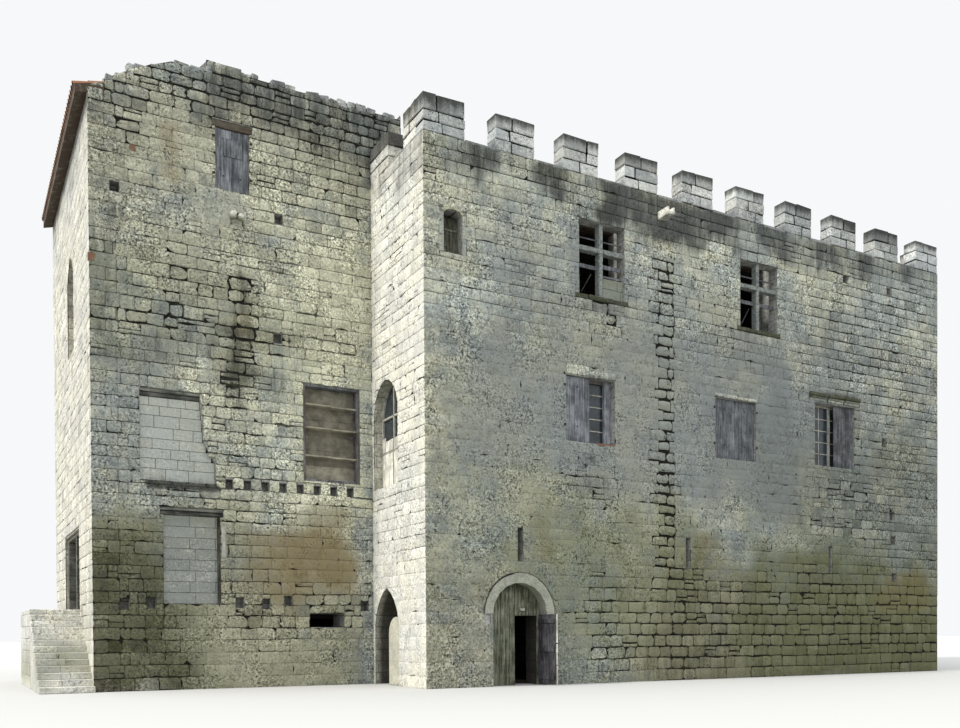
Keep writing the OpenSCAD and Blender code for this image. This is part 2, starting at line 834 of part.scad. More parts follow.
module wing_floors() {
    color(dark_timber) placed() for (z = wing_floor_z)
        translate([-wing_w + wing_t, wing_y + wing_t, z - wing_floor_t])
            cube([wing_w - wing_t, wing_back_in - wing_y - wing_t, wing_floor_t]);
}

module cross_window_bars() {
    color(pale_stone) placed() on_cross_windows() translate([0, sill_out / 2, 0]) {
        translate([-cross_bar / 2, 0, 0]) cube([cross_bar, cross_bar_d, cross_h]);
        translate([-cross_w / 2, 0, transom_h]) cube([cross_w, cross_bar_d, cross_bar]);
    }
}

module window_sills() {
    color(pale_stone) placed() on_cross_windows() sill_block(cross_w);
}

module drip_mould() {
    color(stone) placed() on_third_window() drip_block();
}

module on_glazed_windows() {
    on_mid_windows() children();
    on_back(wing_ridge_x, mid_sill_z) children();
}

// The two panes of a casement window, given a depth and a thickness
module pane_blocks(w, h, depth, t) {
    for (x = [-w / 2 + casement_bar, casement_bar / 2])
        translate([x, depth, casement_bar]) cube([w / 2 - 1.5 * casement_bar, t, h - 2 * casement_bar]);
}

module casement_frame(w, h) {
    difference() {
        translate([-w / 2, casement_d, 0]) cube([w, casement_t, h]);
        pane_blocks(w, h, casement_d - over, casement_t + 2 * over);
    }
}

module window_casements() {
    color(pale_stone) placed() {
        on_glazed_windows() casement_frame(mid_w, mid_h);
        on_third_window() casement_frame(third_w, third_h);
    }
}

module window_glass() {
    color(pane) placed() {
        on_glazed_windows() pane_blocks(mid_w, mid_h, casement_d + casement_t / 2, glass_t);
        on_third_window() pane_blocks(third_w, third_h, casement_d + casement_t / 2, glass_t);
    }
}

// One shutter leaf, hung on the left or the right jamb
module shutter_leaf(side, w = mid_w, h = mid_h) {
    leaf = w / 2 - 3;
    translate([side < 0 ? -w / 2 : w / 2 - leaf, shutter_d, 0]) cube([leaf, shutter_t, h]);
}

module shutter_pair(w = mid_w, h = mid_h) {
    shutter_leaf(-1, w, h);
    shutter_leaf(1, w, h);
}

module window_shutters() {
    color(timber) placed() {
        on_front(mid_x[0], mid_sill_z) shutter_leaf(-1);
        on_front(mid_x[1], mid_sill_z) shutter_pair();
        on_third_window() shutter_leaf(1, third_w, third_h);
        on_mid_windows(front = false) shutter_pair();
        on_back(wing_ridge_x, mid_sill_z) shutter_pair();
        top_window_place() shutter_pair(top_window_w, top_window_h);
        on_back(wing_ridge_x, top_window_z) shutter_pair(top_window_w, top_window_h);
    }
}

module pointed_bars(w, h) {
    difference() {
        along_y(pointed_bar_d, pointed_bar) pointed_shape(w, h, pointed_round, curve_gap);
        along_y(pointed_bar_d - over, pointed_bar + 2 * over) difference() {
            translate([0, pointed_bar]) pointed_shape(w - 2 * pointed_bar, h - 2.5 * pointed_bar, pointed_round);
            for (i = [1 : 2]) translate([-w / 2, i * h / 3]) square([w, pointed_bar]);
            translate([-pointed_bar / 2, 0]) square([pointed_bar, h]);
        }
    }
}

module on_pointed_windows() {
    on_return(return_x, pointed_sill_z) children(0);
    on_wing_left(tall_y, tall_z) children(1);
}

module pointed_window_bars() {
    color(timber) placed() on_pointed_windows() {
        pointed_bars(pointed_w, pointed_h);
        pointed_bars(tall_w, tall_h);
    }
}

module pointed_window_glass() {
    color(pane) placed() on_pointed_windows() {
        along_y(pointed_bar_d + pointed_bar, glass_t) pointed_shape(pointed_w, pointed_h, pointed_round, curve_gap);
        along_y(pointed_bar_d + pointed_bar, glass_t) pointed_shape(tall_w, tall_h, pointed_round, curve_gap);
    }
}

// The pier's outline, with a half round top
module pier_shape() {
    pier_r = pier_w / 2;
    translate([-pier_r, 0]) square([pier_w, pier_h - pier_r]);
    intersection() {
        translate([0, pier_h - pier_r]) circle(r = pier_r, $fn = 96);
        translate([-pier_r, pier_h - pier_r]) square([pier_w, pier_r]);
    }
}

module pointed_doorway_pier() {
    color(plaster) placed() on_return(return_x, 0) along_y(pier_in, reveal_d) intersection() {
        translate([(pointed_w - pier_w) / 2, 0]) pier_shape();
        pointed_shape(pointed_w, pointed_door_h, pointed_door_round, curve_gap);
    }
}

module blocked_windows() {
    color(block_grey) placed() {
        along_y(wing_y + block_in, block_t) upper_block_shape();
        along_y(wing_y + block_in, block_t) lower_block_shape();
        on_front(cross_x[0], cross_sill_z) translate([cross_bar / 2, sill_out / 2, 0])
            cube([(cross_w - cross_bar) / 2, cross_bar_d, half_wall_h]);
    }
}

module wing_lintels() { color(timber) placed() lintels(); }

module shelf_niche() {
    color(timber) placed() difference() {
        niche_block();
        for (i = [0 : len(shelf_h)]) {
            z0 = i == 0 ? board_t : shelf_h[i - 1] + board_t / 2;
            z1 = i == len(shelf_h) ? niche_h - board_t : shelf_h[i] - board_t / 2;
            translate([niche_x + board_t, wing_y - over, niche_z + z0])
                cube([niche_w - 2 * board_t, niche_d - board_t / 2 + over, z1 - z0]);
        }
    }
}

module spout_and_corbel() {
    groove = spout_w / 2;
    color(stone) placed() {
        corbel_block();
        difference() {
            spout_block();
            translate([spout_x - groove / 2, -spout_out - over, head_z + spout_rise + spout_h / 2])
                cube([groove, spout_out + parapet_t + 2 * over, spout_h]);
        }
    }
}

module side_doorway_frame() {
    frame_d = 2 * post_w;
    color(dark_timber) placed() translate([-wing_w + block_in, side_door_y, landing_z]) union() {
        for (y = [0, (side_door_w - post_w) * 0.42, side_door_w - post_w])
            translate([0, y, 0]) cube([frame_d, post_w, side_door_h]);
        translate([0, 0, side_door_h - post_w]) cube([frame_d, side_door_w, post_w]);
    }
}

module outside_steps() {
    color(pale_stone) placed() translate([-wing_w - steps_w, 0, 0]) union() {
        translate([0, side_door_y, 0]) cube([steps_w, side_door_w, landing_z]);
        for (i = [1 : riser_count - 1])
            translate([0, side_door_y - i * going, 0]) cube([steps_w, going + over, landing_z - i * riser]);
    }
}

module door_boarding() {
    color(dark_timber) placed() along_y(boarding_d, boarding_t) difference() {
        doorway_shape(doorway_r - curve_gap);
        translate([door_x0, -over]) square([door_w, door_h + over]);
    }
}

// Pins on brackets that bear on the boarding, one under each strap's eye
module door_pins() {
    color(iron) placed() translate([hinge_x, hinge_y, 0]) for (z = strap_heights) {
        translate([0, 0, z - 30]) cylinder(r = pin_r, h = strap_h + 40, $fn = 48);
        translate([-pin_r, -pin_r, z - 30])
            cube([2 * pin_r, pin_r + boarding_d - hinge_y, 30 - pin_play]);
    }
}

// The door stands open, turned about its hinge line
module on_hinge() {
    placed() translate([hinge_x, hinge_y, 0]) rotate(door_open) children();
}

module door_leaf() {
    far = -hinge_edge - leaf_w;
    color(timber) on_hinge() union() {
        translate([far, strap_t / 2, leaf_foot]) cube([leaf_w, leaf_t, leaf_top - leaf_foot]);
        for (z = [leaf_foot + batten_h, (leaf_top - batten_h) / 2, leaf_top - 2 * batten_h])
            translate([-hinge_edge - door_w + batten_inset, strap_t / 2 + leaf_t, z])
                cube([door_w - 2 * batten_inset, batten_t, batten_h]);
    }
}

module door_straps() {
    color(iron) on_hinge() for (z = strap_heights) difference() {
        union() {
            translate([0, 0, z]) cylinder(r = eye_r, h = strap_h, $fn = 48);
            translate([-strap_len, -strap_t / 2, z]) cube([strap_len, strap_t, strap_h]);
        }
        translate([0, 0, z - over]) cylinder(r = pin_r + pin_play, h = strap_h + 2 * over, $fn = 48);
    }
}

front_wall_left();
front_wall_over_doorway();
front_wall_right();
doorway_arch();
left_wall();
right_wall();
back_wall();
front_parapet();
left_parapet();
right_parapet();
back_parapet();
front_merlons();
left_merlons();
right_merlons();
back_merlons();
main_roof_front();
main_roof_back();
main_roof_hips();
main_floors();
wing_front_wall();
wing_left_wall();
wing_back_wall();
wing_right_wall();
wing_roof_left();
wing_roof_right();
wing_floors();
cross_window_bars();
window_sills();
drip_mould();
window_casements();
window_glass();
window_shutters();
pointed_window_bars();
pointed_window_glass();
pointed_doorway_pier();
blocked_windows();
wing_lintels();
shelf_niche();
spout_and_corbel();
side_doorway_frame();
outside_steps();
door_boarding();
door_pins();
door_leaf();
door_straps();
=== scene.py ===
"""Looks of the castle keep: its stones, tiles, timber, glass and light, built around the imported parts.

Places are metres from the main front's left corner at the doorway's level: X runs right along the
front, Y into the building and Z up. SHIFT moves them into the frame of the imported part.
"""
import math
import random

import bpy
import numpy as np
from mathutils import Euler, Matrix, Vector


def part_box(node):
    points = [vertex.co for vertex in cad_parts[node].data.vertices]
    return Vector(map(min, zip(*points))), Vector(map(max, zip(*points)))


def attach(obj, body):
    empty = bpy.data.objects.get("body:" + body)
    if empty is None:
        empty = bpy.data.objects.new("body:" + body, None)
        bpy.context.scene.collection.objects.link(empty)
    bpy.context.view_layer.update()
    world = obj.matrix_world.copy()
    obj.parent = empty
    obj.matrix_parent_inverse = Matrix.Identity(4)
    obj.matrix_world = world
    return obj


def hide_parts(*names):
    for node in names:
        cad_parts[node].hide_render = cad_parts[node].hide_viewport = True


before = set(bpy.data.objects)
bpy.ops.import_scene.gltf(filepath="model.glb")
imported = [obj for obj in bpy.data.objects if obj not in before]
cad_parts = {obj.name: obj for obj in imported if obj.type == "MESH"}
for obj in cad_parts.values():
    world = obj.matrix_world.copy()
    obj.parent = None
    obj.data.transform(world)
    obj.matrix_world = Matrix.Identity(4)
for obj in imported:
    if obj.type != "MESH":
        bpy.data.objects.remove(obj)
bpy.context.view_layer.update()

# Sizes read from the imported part
SHIFT = np.array(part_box("front_wall_left")[0])
FRONT_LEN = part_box("front_parapet")[1].x - SHIFT[0]
BLOCK_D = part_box("back_wall")[1].y - SHIFT[1]
WING_W = SHIFT[0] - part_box("wing_left_wall")[0].x
WING_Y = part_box("wing_front_wall")[0].y - SHIFT[1]
HEAD_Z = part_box("front_wall_left")[1].z
SILL_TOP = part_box("front_parapet")[1].z
MERLON_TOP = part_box("front_merlons")[1].z
WING_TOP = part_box("wing_front_wall")[1].z

# Thicknesses of the walls, and the level of the steps' landing
WALL_T, WING_T, PARAPET_T, LANDING_Z = 1.10, 0.90, 0.45, 2.10

# Windows, doors and holes: names in X, Y and Z are places, those in W, H, T, D and R are sizes
CROSS_X = (5.43, 11.35)
CROSS_W, CROSS_H, CROSS_SILL = 1.54, 2.05, 10.73
MID_X = (5.025, 10.38)
MID_W, MID_H, MID_SILL = 1.63, 1.80, 6.65
THIRD_X, THIRD_W, THIRD_H, THIRD_SILL = 14.70, 1.84, 2.00, 6.78
SILL_OUT = 0.13
DRIP_HALF, DRIP_Z, DRIP_TOP = THIRD_W / 2 + 0.25, THIRD_SILL + THIRD_H + 0.083, 9.113
SIDE_Y = (4.20, 8.30)
SLIT_X = (2.745, 8.49, 14.49)
SLIT_W, SLIT_H, SLIT_Z = 0.18, 0.90, 3.30
SMALL_X, SMALL_W, SMALL_H, SMALL_Z = 0.80, 0.53, 1.12, 11.06
SMALL_RISE = 0.12
POINTED_Y, POINTED_W, POINTED_ROUND, DOOR_ROUND = 2.515, 1.65, 0.56, 0.76
POINTED_SILL, POINTED_H, POINTED_DOOR_H = 5.43, 2.89, 2.64
TALL_Y, TALL_W, TALL_H, TALL_Z = 7.70, 1.50, 2.65, 9.30
DOORWAY_X, DOORWAY_W, DOORWAY_H, RING_T = 1.90, 1.66, 2.74, 0.27
DOORWAY_R = DOORWAY_W / 2
DOORWAY_MID = DOORWAY_X + DOORWAY_R
SPRING_Z = DOORWAY_H - DOORWAY_R
TOP_X, TOP_W, TOP_H, TOP_Z = -4.29, 0.87, 1.60, 12.96
TOP_MID = TOP_X + TOP_W / 2
UPPER_X, UPPER_W, UPPER_H, UPPER_Z, UPPER_FLARE = -6.21, 1.47, 2.10, 5.30, 0.38
LOWER_X, LOWER_W, LOWER_H, LOWER_Z = -5.67, 1.42, 2.25, 2.20
LINTEL_H, LINTEL_OUT = 0.20, 0.08
NICHE_X, NICHE_W, NICHE_H, NICHE_Z, NICHE_D = -2.01, 1.62, 2.64, 5.58, 0.32
VENT_X, VENT_W, VENT_H, VENT_Z = -1.87, 0.99, 0.38, 1.59
POCKET_X, POCKET_W, POCKET_H, POCKET_Z, POCKET_PITCH, POCKETS = -4.11, 0.20, 0.26, 5.20, 0.475, 8
CORBEL_DROP, CORBEL_SHIFT = 0.86, 0.10
CORBEL_W, SPOUT_X, SPOUT_W, SPOUT_H, SPOUT_Z = 0.33, 7.53, 0.26, 0.22, 13.30
PUTLOG_W, PUTLOG_H = 0.23, 0.26
BLOCK_PUTLOGS = (
    (15.20, 12.98), (17.35, 12.95), (17.09, 7.80), (17.49, 5.34), (17.54, 4.50), (17.59, 3.24),
)
WING_PUTLOGS = (
    (-2.64, 12.50), (-2.69, 9.32), (-6.74, 12.45), (-6.60, 2.17), (-5.97, 2.20),
    (-3.76, 2.24), (-3.06, 2.22), (-2.46, 2.30), (-0.28, 2.18),
)
SIDE_DOOR_Y, SIDE_DOOR_W, SIDE_DOOR_H, POST_W = 6.20, 3.60, 2.20, 0.12
HINGE_X, HINGE_Y, PIN_GAP, LEAF_W, DOOR_OPEN, DOOR_TOP = 3.46, 0.256, 0.03, 0.69, 100, 1.87

# Battlements, roofs, and the outline of the wing's broken top
MERLON_W, MERLON_COUNT, SIDE_MERLON_COUNT, LEFT_GAP = 1.14, 10, 7, (1.20, 2.25)
ROOF_T, MAIN_PITCH, WING_PITCH, EAVE_OUT, EAVE_Z = 0.21, 17, 16, 0.30, 14.60
RIDGE_X, WING_SLOPE = (WING_T - WING_W) / 2, math.tan(math.radians(WING_PITCH))
BROKEN_TOP = ((-6.95, 15.00), (-6.50, 15.32), (-5.97, 15.62), (-5.37, 15.90), (-4.70, 15.92))
CORNER_TOP, STEP_X, STEP_END, LOW_TOP = 14.90, -4.50, -3.60, 16.06

# How far the stones stand out of the wall's core
PROUD = 0.028
# A face runs on past the corner by this much, so that its stones meet those of the next face
OUT = 0.95 * PROUD
# Lengths of the corner stones, which take turns
QUOIN = (0.62, 0.36)
# The upright seam in the main front, as its two edges, its foot and its head
SEAM = (7.39, 7.98, 3.2, 12.2)


def ease(x):
    """Smooth step from 0 to 1."""
    x = np.clip(x, 0, 1)
    return x * x * (3 - 2 * x)


class Place:
    """Where something is drawn: x runs along a wall, y into it and z up."""

    def __init__(self, origin=(0, 0, 0), turn=0):
        c, s = math.cos(math.radians(turn)), math.sin(math.radians(turn))
        self.origin = np.array(origin, float)
        self.axes = np.array([[c, s, 0], [-s, c, 0], [0, 0, 1]])
        self.axis = 0 if abs(c) > 0.5 else 1
        self.sign = self.axes[0, self.axis]

    def put(self, points):
        return np.asarray(points, float) @ self.axes + self.origin

    def along(self, a):
        """The place's own x for a building X or Y."""
        return (a - self.origin[self.axis]) * self.sign

    def building(self, x):
        """The building X or Y for the place's own x."""
        return self.origin[self.axis] + self.sign * x


HERE = Place()


def on_front(x, z=0):
    return Place((x, 0, z))


def on_right(y, z=0):
    return Place((FRONT_LEN, y, z), 90)


def on_back(x, z=0):
    return Place((x, BLOCK_D, z), 180)


def on_return(y, z=0):
    return Place((0, y, z), -90)


def on_wing_front(x, z=0):
    return Place((x, WING_Y, z))


def on_wing_left(y, z=0):
    return Place((-WING_W, y, z), -90)


# Places that several kinds of soft box share: the worn stones below the first middle window, a mended
# patch over them, a strip at the left of the first cross window, and a gap below its sill
UNDER_FIRST = (4.5, 5.9, 4.9, 5.9, 0.3)
SMOOTH_PATCH = (4.65, 5.25, 5.88, 6.38, 0.06)
CROSS_STRIP = (4.25, 4.72, 10.6, 12.8, 0.08)
CROSS_CRACK = (5.3, 5.78, 10.1, 10.46, 0.05)
# The foot of the main front's left end and of the wing's, a rough band across the wing, and a missing
# stone near its top
LEFT_FOOT = (-0.2, 2.0, -0.5, 3.6, 0.9)
WING_FOOT = (-8.4, -5.2, -0.9, 4.4, 1.6)
WING_LEDGE = (-7.4, -0.3, 9.1, 9.6, 0.2)
WING_GAP = (-6.47, -6.08, 13.7, 14.25, 0.06)

# Soft boxes on the walls, each as strength, from, to, low, high and softness. From and to are X on the
# fronts and backs and Y on the sides. Black, blue, ochre and green are stains. Light and warm shift the
# tone. Joint opens the mortar and flush closes it, gape widens the joints, and worn rounds the stones.
FRONT_ZONES = {
    "blue": (
        (0.5, 1.0, 13.2, 4.9, 9.6, 1.2), (0.32, 1.4, 10.0, 9.2, 12.4, 1.0),
        (0.35, 12.0, 16.0, 5.5, 9.6, 1.0), (0.5, 9.4, 13.0, 5.4, 8.4, 0.7),
        (0.55, 10.0, 12.8, 9.2, 10.5, 0.5), (0.3, 6.0, 20.2, 13.05, 14.0, 0.3),
        (0.55, *CROSS_STRIP),
    ),
    "black": (
        (0.3, -0.3, 20.2, 13.3, 14.4, 0.5), (0.5, 5.6, 11.0, 12.9, 14.2, 0.6),
        (0.35, 4.4, 6.4, 10.2, 10.66, 0.25), (0.3, 10.5, 12.3, 10.2, 10.66, 0.25),
        (0.45, 13.6, 15.9, 8.7, 9.3, 0.3), (0.35, 7.0, 20.5, -0.5, 2.6, 1.2),
        (0.3, *UNDER_FIRST),
    ),
    "green": (
        (0.2, 7.4, 8.0, 3.2, 12.3, 0.18), (0.4, 2.5, 20.5, -0.5, 4.4, 1.6),
        (0.5, 10.5, 20.5, -0.5, 3.2, 1.4), (0.25, 11.0, 20.5, 2.6, 8.6, 1.6),
        (0.3, 0.0, 9.0, 1.5, 5.6, 1.4),
    ),
    "ochre": (
        (0.7, 16.6, 19.3, 2.2, 3.8, 0.7), (0.4, 8.7, 9.7, 3.2, 4.2, 0.4),
        (0.4, 3.0, 3.7, 3.3, 4.3, 0.4), (0.16, *LEFT_FOOT),
        (0.33, 6.0, 20.8, -0.9, 3.4, 1.2),
    ),
    "light": (
        (0.06, 0.0, 1.9, 9.6, 11.0, 0.5), (-0.11, *LEFT_FOOT),
        (0.08, -0.2, 20.2, 11.4, 13.4, 1.2), (-0.15, 13.0, 20.2, 2.5, 8.0, 1.6),
        (-0.14, 8.0, 20.2, -0.5, 3.4, 1.6), (-0.1, 14.0, 20.6, -0.5, 1.8, 0.8),
        (-0.04, 12.0, 20.6, 8.0, 13.0, 1.2), (0.05, *UNDER_FIRST),
        (-0.08, *SMOOTH_PATCH), (0.08, 0.1, 1.7, 9.7, 10.9, 0.3),
    ),
    "joint": (
        (0.9, *UNDER_FIRST), (0.42, 13.8, 20.2, 8.6, 12.7, 0.9),
        (0.22, 8.2, 20.2, 9.4, 14.3, 1.0), (0.45, -0.2, 20.2, 12.9, 14.3, 0.4),
        (0.25, -0.2, 7.4, 9.8, 13.0, 1.0), (0.75, 4.3, 20.2, 0.3, 2.9, 0.6),
        (0.3, 15.0, 20.2, 2.4, 9.0, 1.2),
    ),
    "warm": (
        (0.5, *UNDER_FIRST), (0.6, 7.0, 20.2, -0.5, 2.6, 1.0),
        (-0.25, 11.0, 20.8, 4.0, 13.4, 1.5), (0.3, -0.2, 2.6, -0.5, 9.0, 1.4),
        (0.35, 3.0, 9.0, 2.8, 5.2, 1.0),
    ),
    "flush": (
        (1.0, *SMOOTH_PATCH), (0.9, *CROSS_STRIP),
        (0.45, 0.5, 6.9, 2.8, 10.0, 1.2), (0.12, 8.2, 13.5, 3.4, 8.8, 1.2),
        (0.5, 0.6, 4.6, 0.0, 3.2, 0.5),
    ),
    "gape": (
        (1.0, *CROSS_CRACK), (1.0, 7.3, 8.05, 3.2, 12.3, 0.1),
        (0.1, 14.4, 19.6, 9.2, 12.2, 0.8),
    ),
    "worn": (
        (1.0, *CROSS_CRACK), (0.9, 13.6, 15.9, 4.4, 6.5, 0.5),
        (0.8, 4.3, 5.9, 5.1, 6.4, 0.4), (0.45, 4.3, 19.6, 0.4, 2.9, 0.6),
        (0.25, 7.35, 8.0, 3.2, 12.3, 0.1), (0.35, 8.4, 12.0, 9.8, 12.9, 0.8),
    ),
}
CRENEL_PITCH = 2.081
# Dark streaks under the gaps between the merlons
FRONT_ZONES["black"] += tuple(
    (0.42, 1.20 + CRENEL_PITCH * i, 2.02 + CRENEL_PITCH * i, 13.1, 14.2, 0.4) for i in range(MERLON_COUNT - 1)
)
RETURN_ZONES = {
    "black": ((0.35, -0.2, 3.6, 13.2, 15.2, 0.6),),
    "warm": ((0.1, -0.2, 3.6, -0.5, 12.0, 1.0),),
    "light": ((0.05, -0.2, 3.6, 0.5, 13.0, 1.0),),
    "joint": ((0.22, -0.2, 3.6, 4.0, 14.0, 1.0),),
    "flush": ((0.12, -0.2, 3.6, -0.5, 4.0, 0.8),),
    "worn": ((0.25, -0.2, 3.6, 3.0, 13.0, 1.2),),
}
WING_ZONES = {
    "black": (
        (0.25, -7.6, 1.0, 14.7, 16.5, 0.6), (0.3, -4.6, 1.0, 14.2, 16.5, 0.6),
        (0.4, -4.0, -3.45, 7.2, 10.9, 0.25), (0.3, -6.0, -4.3, 4.75, 5.3, 0.2),
        (0.32, -7.4, -2.4, 8.1, 9.0, 0.45), (0.35, -7.6, -6.6, 9.0, 12.4, 0.6),
        (0.7, -6.1, -4.2, 5.13, 5.31, 0.06), (0.3, -4.6, -0.6, 9.25, 9.6, 0.1),
        (0.35, -6.45, -6.1, 13.75, 14.22, 0.1),
    ),
    "ochre": (
        (0.4, -3.8, -3.4, 9.35, 9.9, 0.15), (0.75, -2.7, -0.8, 3.1, 4.3, 0.5),
        (0.55, -1.6, -0.1, 2.9, 3.9, 0.45), (0.45, -3.6, 0.1, 2.6, 4.8, 0.9),
        (0.4, -3.1, -1.1, 2.2, 4.3, 0.6), (0.22, -5.0, 0.2, -0.9, 3.0, 1.0),
        (0.22, *WING_FOOT), (0.16, -4.6, -0.3, 9.0, 9.45, 0.15),
        (0.45, -5.6, -5.1, 12.9, 14.2, 0.25),
    ),
    "light": (
        (0.08, -6.2, -4.2, 4.75, 5.3, 0.15), (-0.15, -3.9, -2.0, 5.6, 8.0, 0.8),
        (-0.12, -4.3, -3.1, 2.2, 4.5, 0.6), (0.2, -3.0, 0.1, 5.0, 12.9, 1.6),
        # Painted shade: the darkening of 0.36 at the wing's foot is partly the wall's own darker tone and
        # partly the shade of the plants there.
        (0.1, -5.4, -2.4, 5.8, 8.0, 1.0), (-0.36, -8.4, -5.2, -0.9, 4.2, 1.9),
        (0.07, -5.4, -0.1, 5.2, 8.2, 1.0), (-0.04, -7.6, 1.0, 14.0, 16.4, 0.8),
        (-0.1, -7.5, -6.0, 12.6, 14.8, 0.8), (0.09, -4.5, -3.4, 12.0, 12.95, 0.15),
        (0.07, -4.2, -0.3, 7.4, 8.4, 0.5),
    ),
    "blue": (
        (0.35, -7.4, -4.6, 6.0, 9.4, 1.0), (0.4, -4.5, -3.4, 12.0, 12.95, 0.15),
    ),
    "green": (
        (0.25, -7.6, -4.4, -0.5, 4.8, 1.2), (0.28, -7.6, 0.2, -0.5, 5.0, 1.2),
        (0.3, -7.6, -1.0, 8.0, 10.8, 1.2),
    ),
    "warm": (
        (0.55, -2.6, 0.1, 4.5, 12.5, 1.2), (0.5, -7.6, 0.1, 9.6, 14.6, 1.2),
        (0.6, *WING_FOOT), (0.6, -5.2, 0.2, -0.5, 5.0, 1.0),
    ),
    "joint": (
        (0.3, *WING_FOOT), (0.75, -7.6, 1.0, 14.5, 16.4, 0.5),
        (0.35, -3.6, 1.0, 12.6, 14.6, 0.8), (0.36, -7.6, 0.2, 5.2, 14.4, 1.0),
        (0.4, -4.6, 0.2, 1.4, 5.4, 0.6), (0.5, *WING_LEDGE),
    ),
    "worn": (
        (0.3, *WING_FOOT), (0.8, *WING_LEDGE),
        (0.7, *WING_GAP), (0.9, -6.1, -4.2, 4.7, 5.3, 0.2),
        (0.5, -4.7, 0.1, 1.6, 2.7, 0.5), (0.55, -4.1, -3.3, 6.9, 11.0, 0.3),
        (0.3, -7.6, 1.0, 14.4, 16.4, 0.6), (0.25, -7.6, 0.1, 5.0, 12.0, 1.2),
    ),
    "gape": (
        (0.22, -5.0, -3.4, 4.5, 8.0, 0.4), (0.85, -3.98, -3.5, 7.3, 10.8, 0.1),
        (0.18, -7.6, 1.0, 14.8, 16.4, 0.5), (0.95, *WING_GAP),
        (0.7, -5.4, -5.2, 9.3, 11.4, 0.1),
    ),
    "flush": (
        (0.2, -7.3, -3.9, 10.8, 14.2, 0.8), (0.45, -2.9, -0.2, 3.0, 4.3, 0.5),
        (0.35, -5.2, -3.4, 11.8, 12.8, 0.3),
    ),
}
PLAIN_ZONES = {
    "blue": ((0.45, 0.5, 19.0, 4.5, 9.6, 1.4),),
    "black": ((0.35, -8.0, 20.2, 13.2, 14.4, 0.6),),
    "green": ((0.45, -8.0, 20.5, -0.5, 3.6, 1.6),),
    "warm": ((0.25, -8.0, 20.2, 9.0, 13.4, 1.6),),
    "joint": (
        (0.4, -8.0, 20.2, 9.0, 14.3, 1.2), (0.6, -8.0, 20.2, 0.2, 2.9, 0.6),
    ),
    "flush": ((0.25, -8.0, 20.2, 3.2, 8.8, 1.2),),
    "worn": ((0.35, -8.0, 20.2, 0.2, 2.9, 0.8),),
}
LEFT_ZONES = {
    "black": ((0.3, 3.0, 12.8, 13.8, 14.9, 0.6),),
    "green": ((0.3, 3.0, 12.8, -0.5, 2.6, 1.4),),
    "warm": ((0.35, 3.0, 12.8, 2.0, 13.0, 1.4),),
    "light": ((-0.06, 3.0, 12.8, -0.5, 14.9, 1.0),),
    "joint": ((0.15, 3.0, 12.8, -0.5, 14.9, 1.0),),
    "worn": ((0.25, 3.0, 12.8, 2.0, 13.0, 1.4),),
}


def drift(a, z, seed):
    """Smooth noise from -1 to 1 over a wall face."""
    total = 0.0
    for scale, share in ((1.9, 0.55), (0.62, 0.45)):
        u, v = a / scale + 17.3 * seed, z / scale + 9.1 * seed
        i, j = np.floor(u), np.floor(v)
        f, g = ease(u - i), ease(v - j)
        lattice = []
        for di in (0, 1):
            for dj in (0, 1):
                wild = np.sin((i + di) * 127.1 + (j + dj) * 311.7 + seed * 74.7) * 43758.5453
                lattice.append((wild - np.floor(wild)) * 2 - 1)
        low = lattice[0] + (lattice[1] - lattice[0]) * g
        high = lattice[2] + (lattice[3] - lattice[2]) * g
        total = total + share * (low + (high - low) * f)
    return total


def amount(zones, kind, a, z, summed=False):
    """How strongly zones of one kind cover the points. Stains never pass 1, the rest are summed."""
    total = np.zeros(np.shape(a))
    if kind not in zones:
        return total
    near, far = drift(a, z, 1), drift(a, z, 2)
    for strength, a0, a1, z0, z1, soft in zones[kind]:
        reach = min(1.3 * soft, 1.4)
        b, y = a + reach * near, z + reach * far
        inside = ease((b - a0) / soft + 0.5) * ease((a1 - b) / soft + 0.5)
        inside = inside * ease((y - z0) / soft + 0.5) * ease((z1 - y) / soft + 0.5) * strength
        total = total + inside if summed else total + (1 - total) * inside
    return total


def clamped(rng, middle, spread, low=0, high=1):
    """A number drawn round a middle and kept between two limits."""
    return min(max(rng.gauss(middle, spread), low), high)


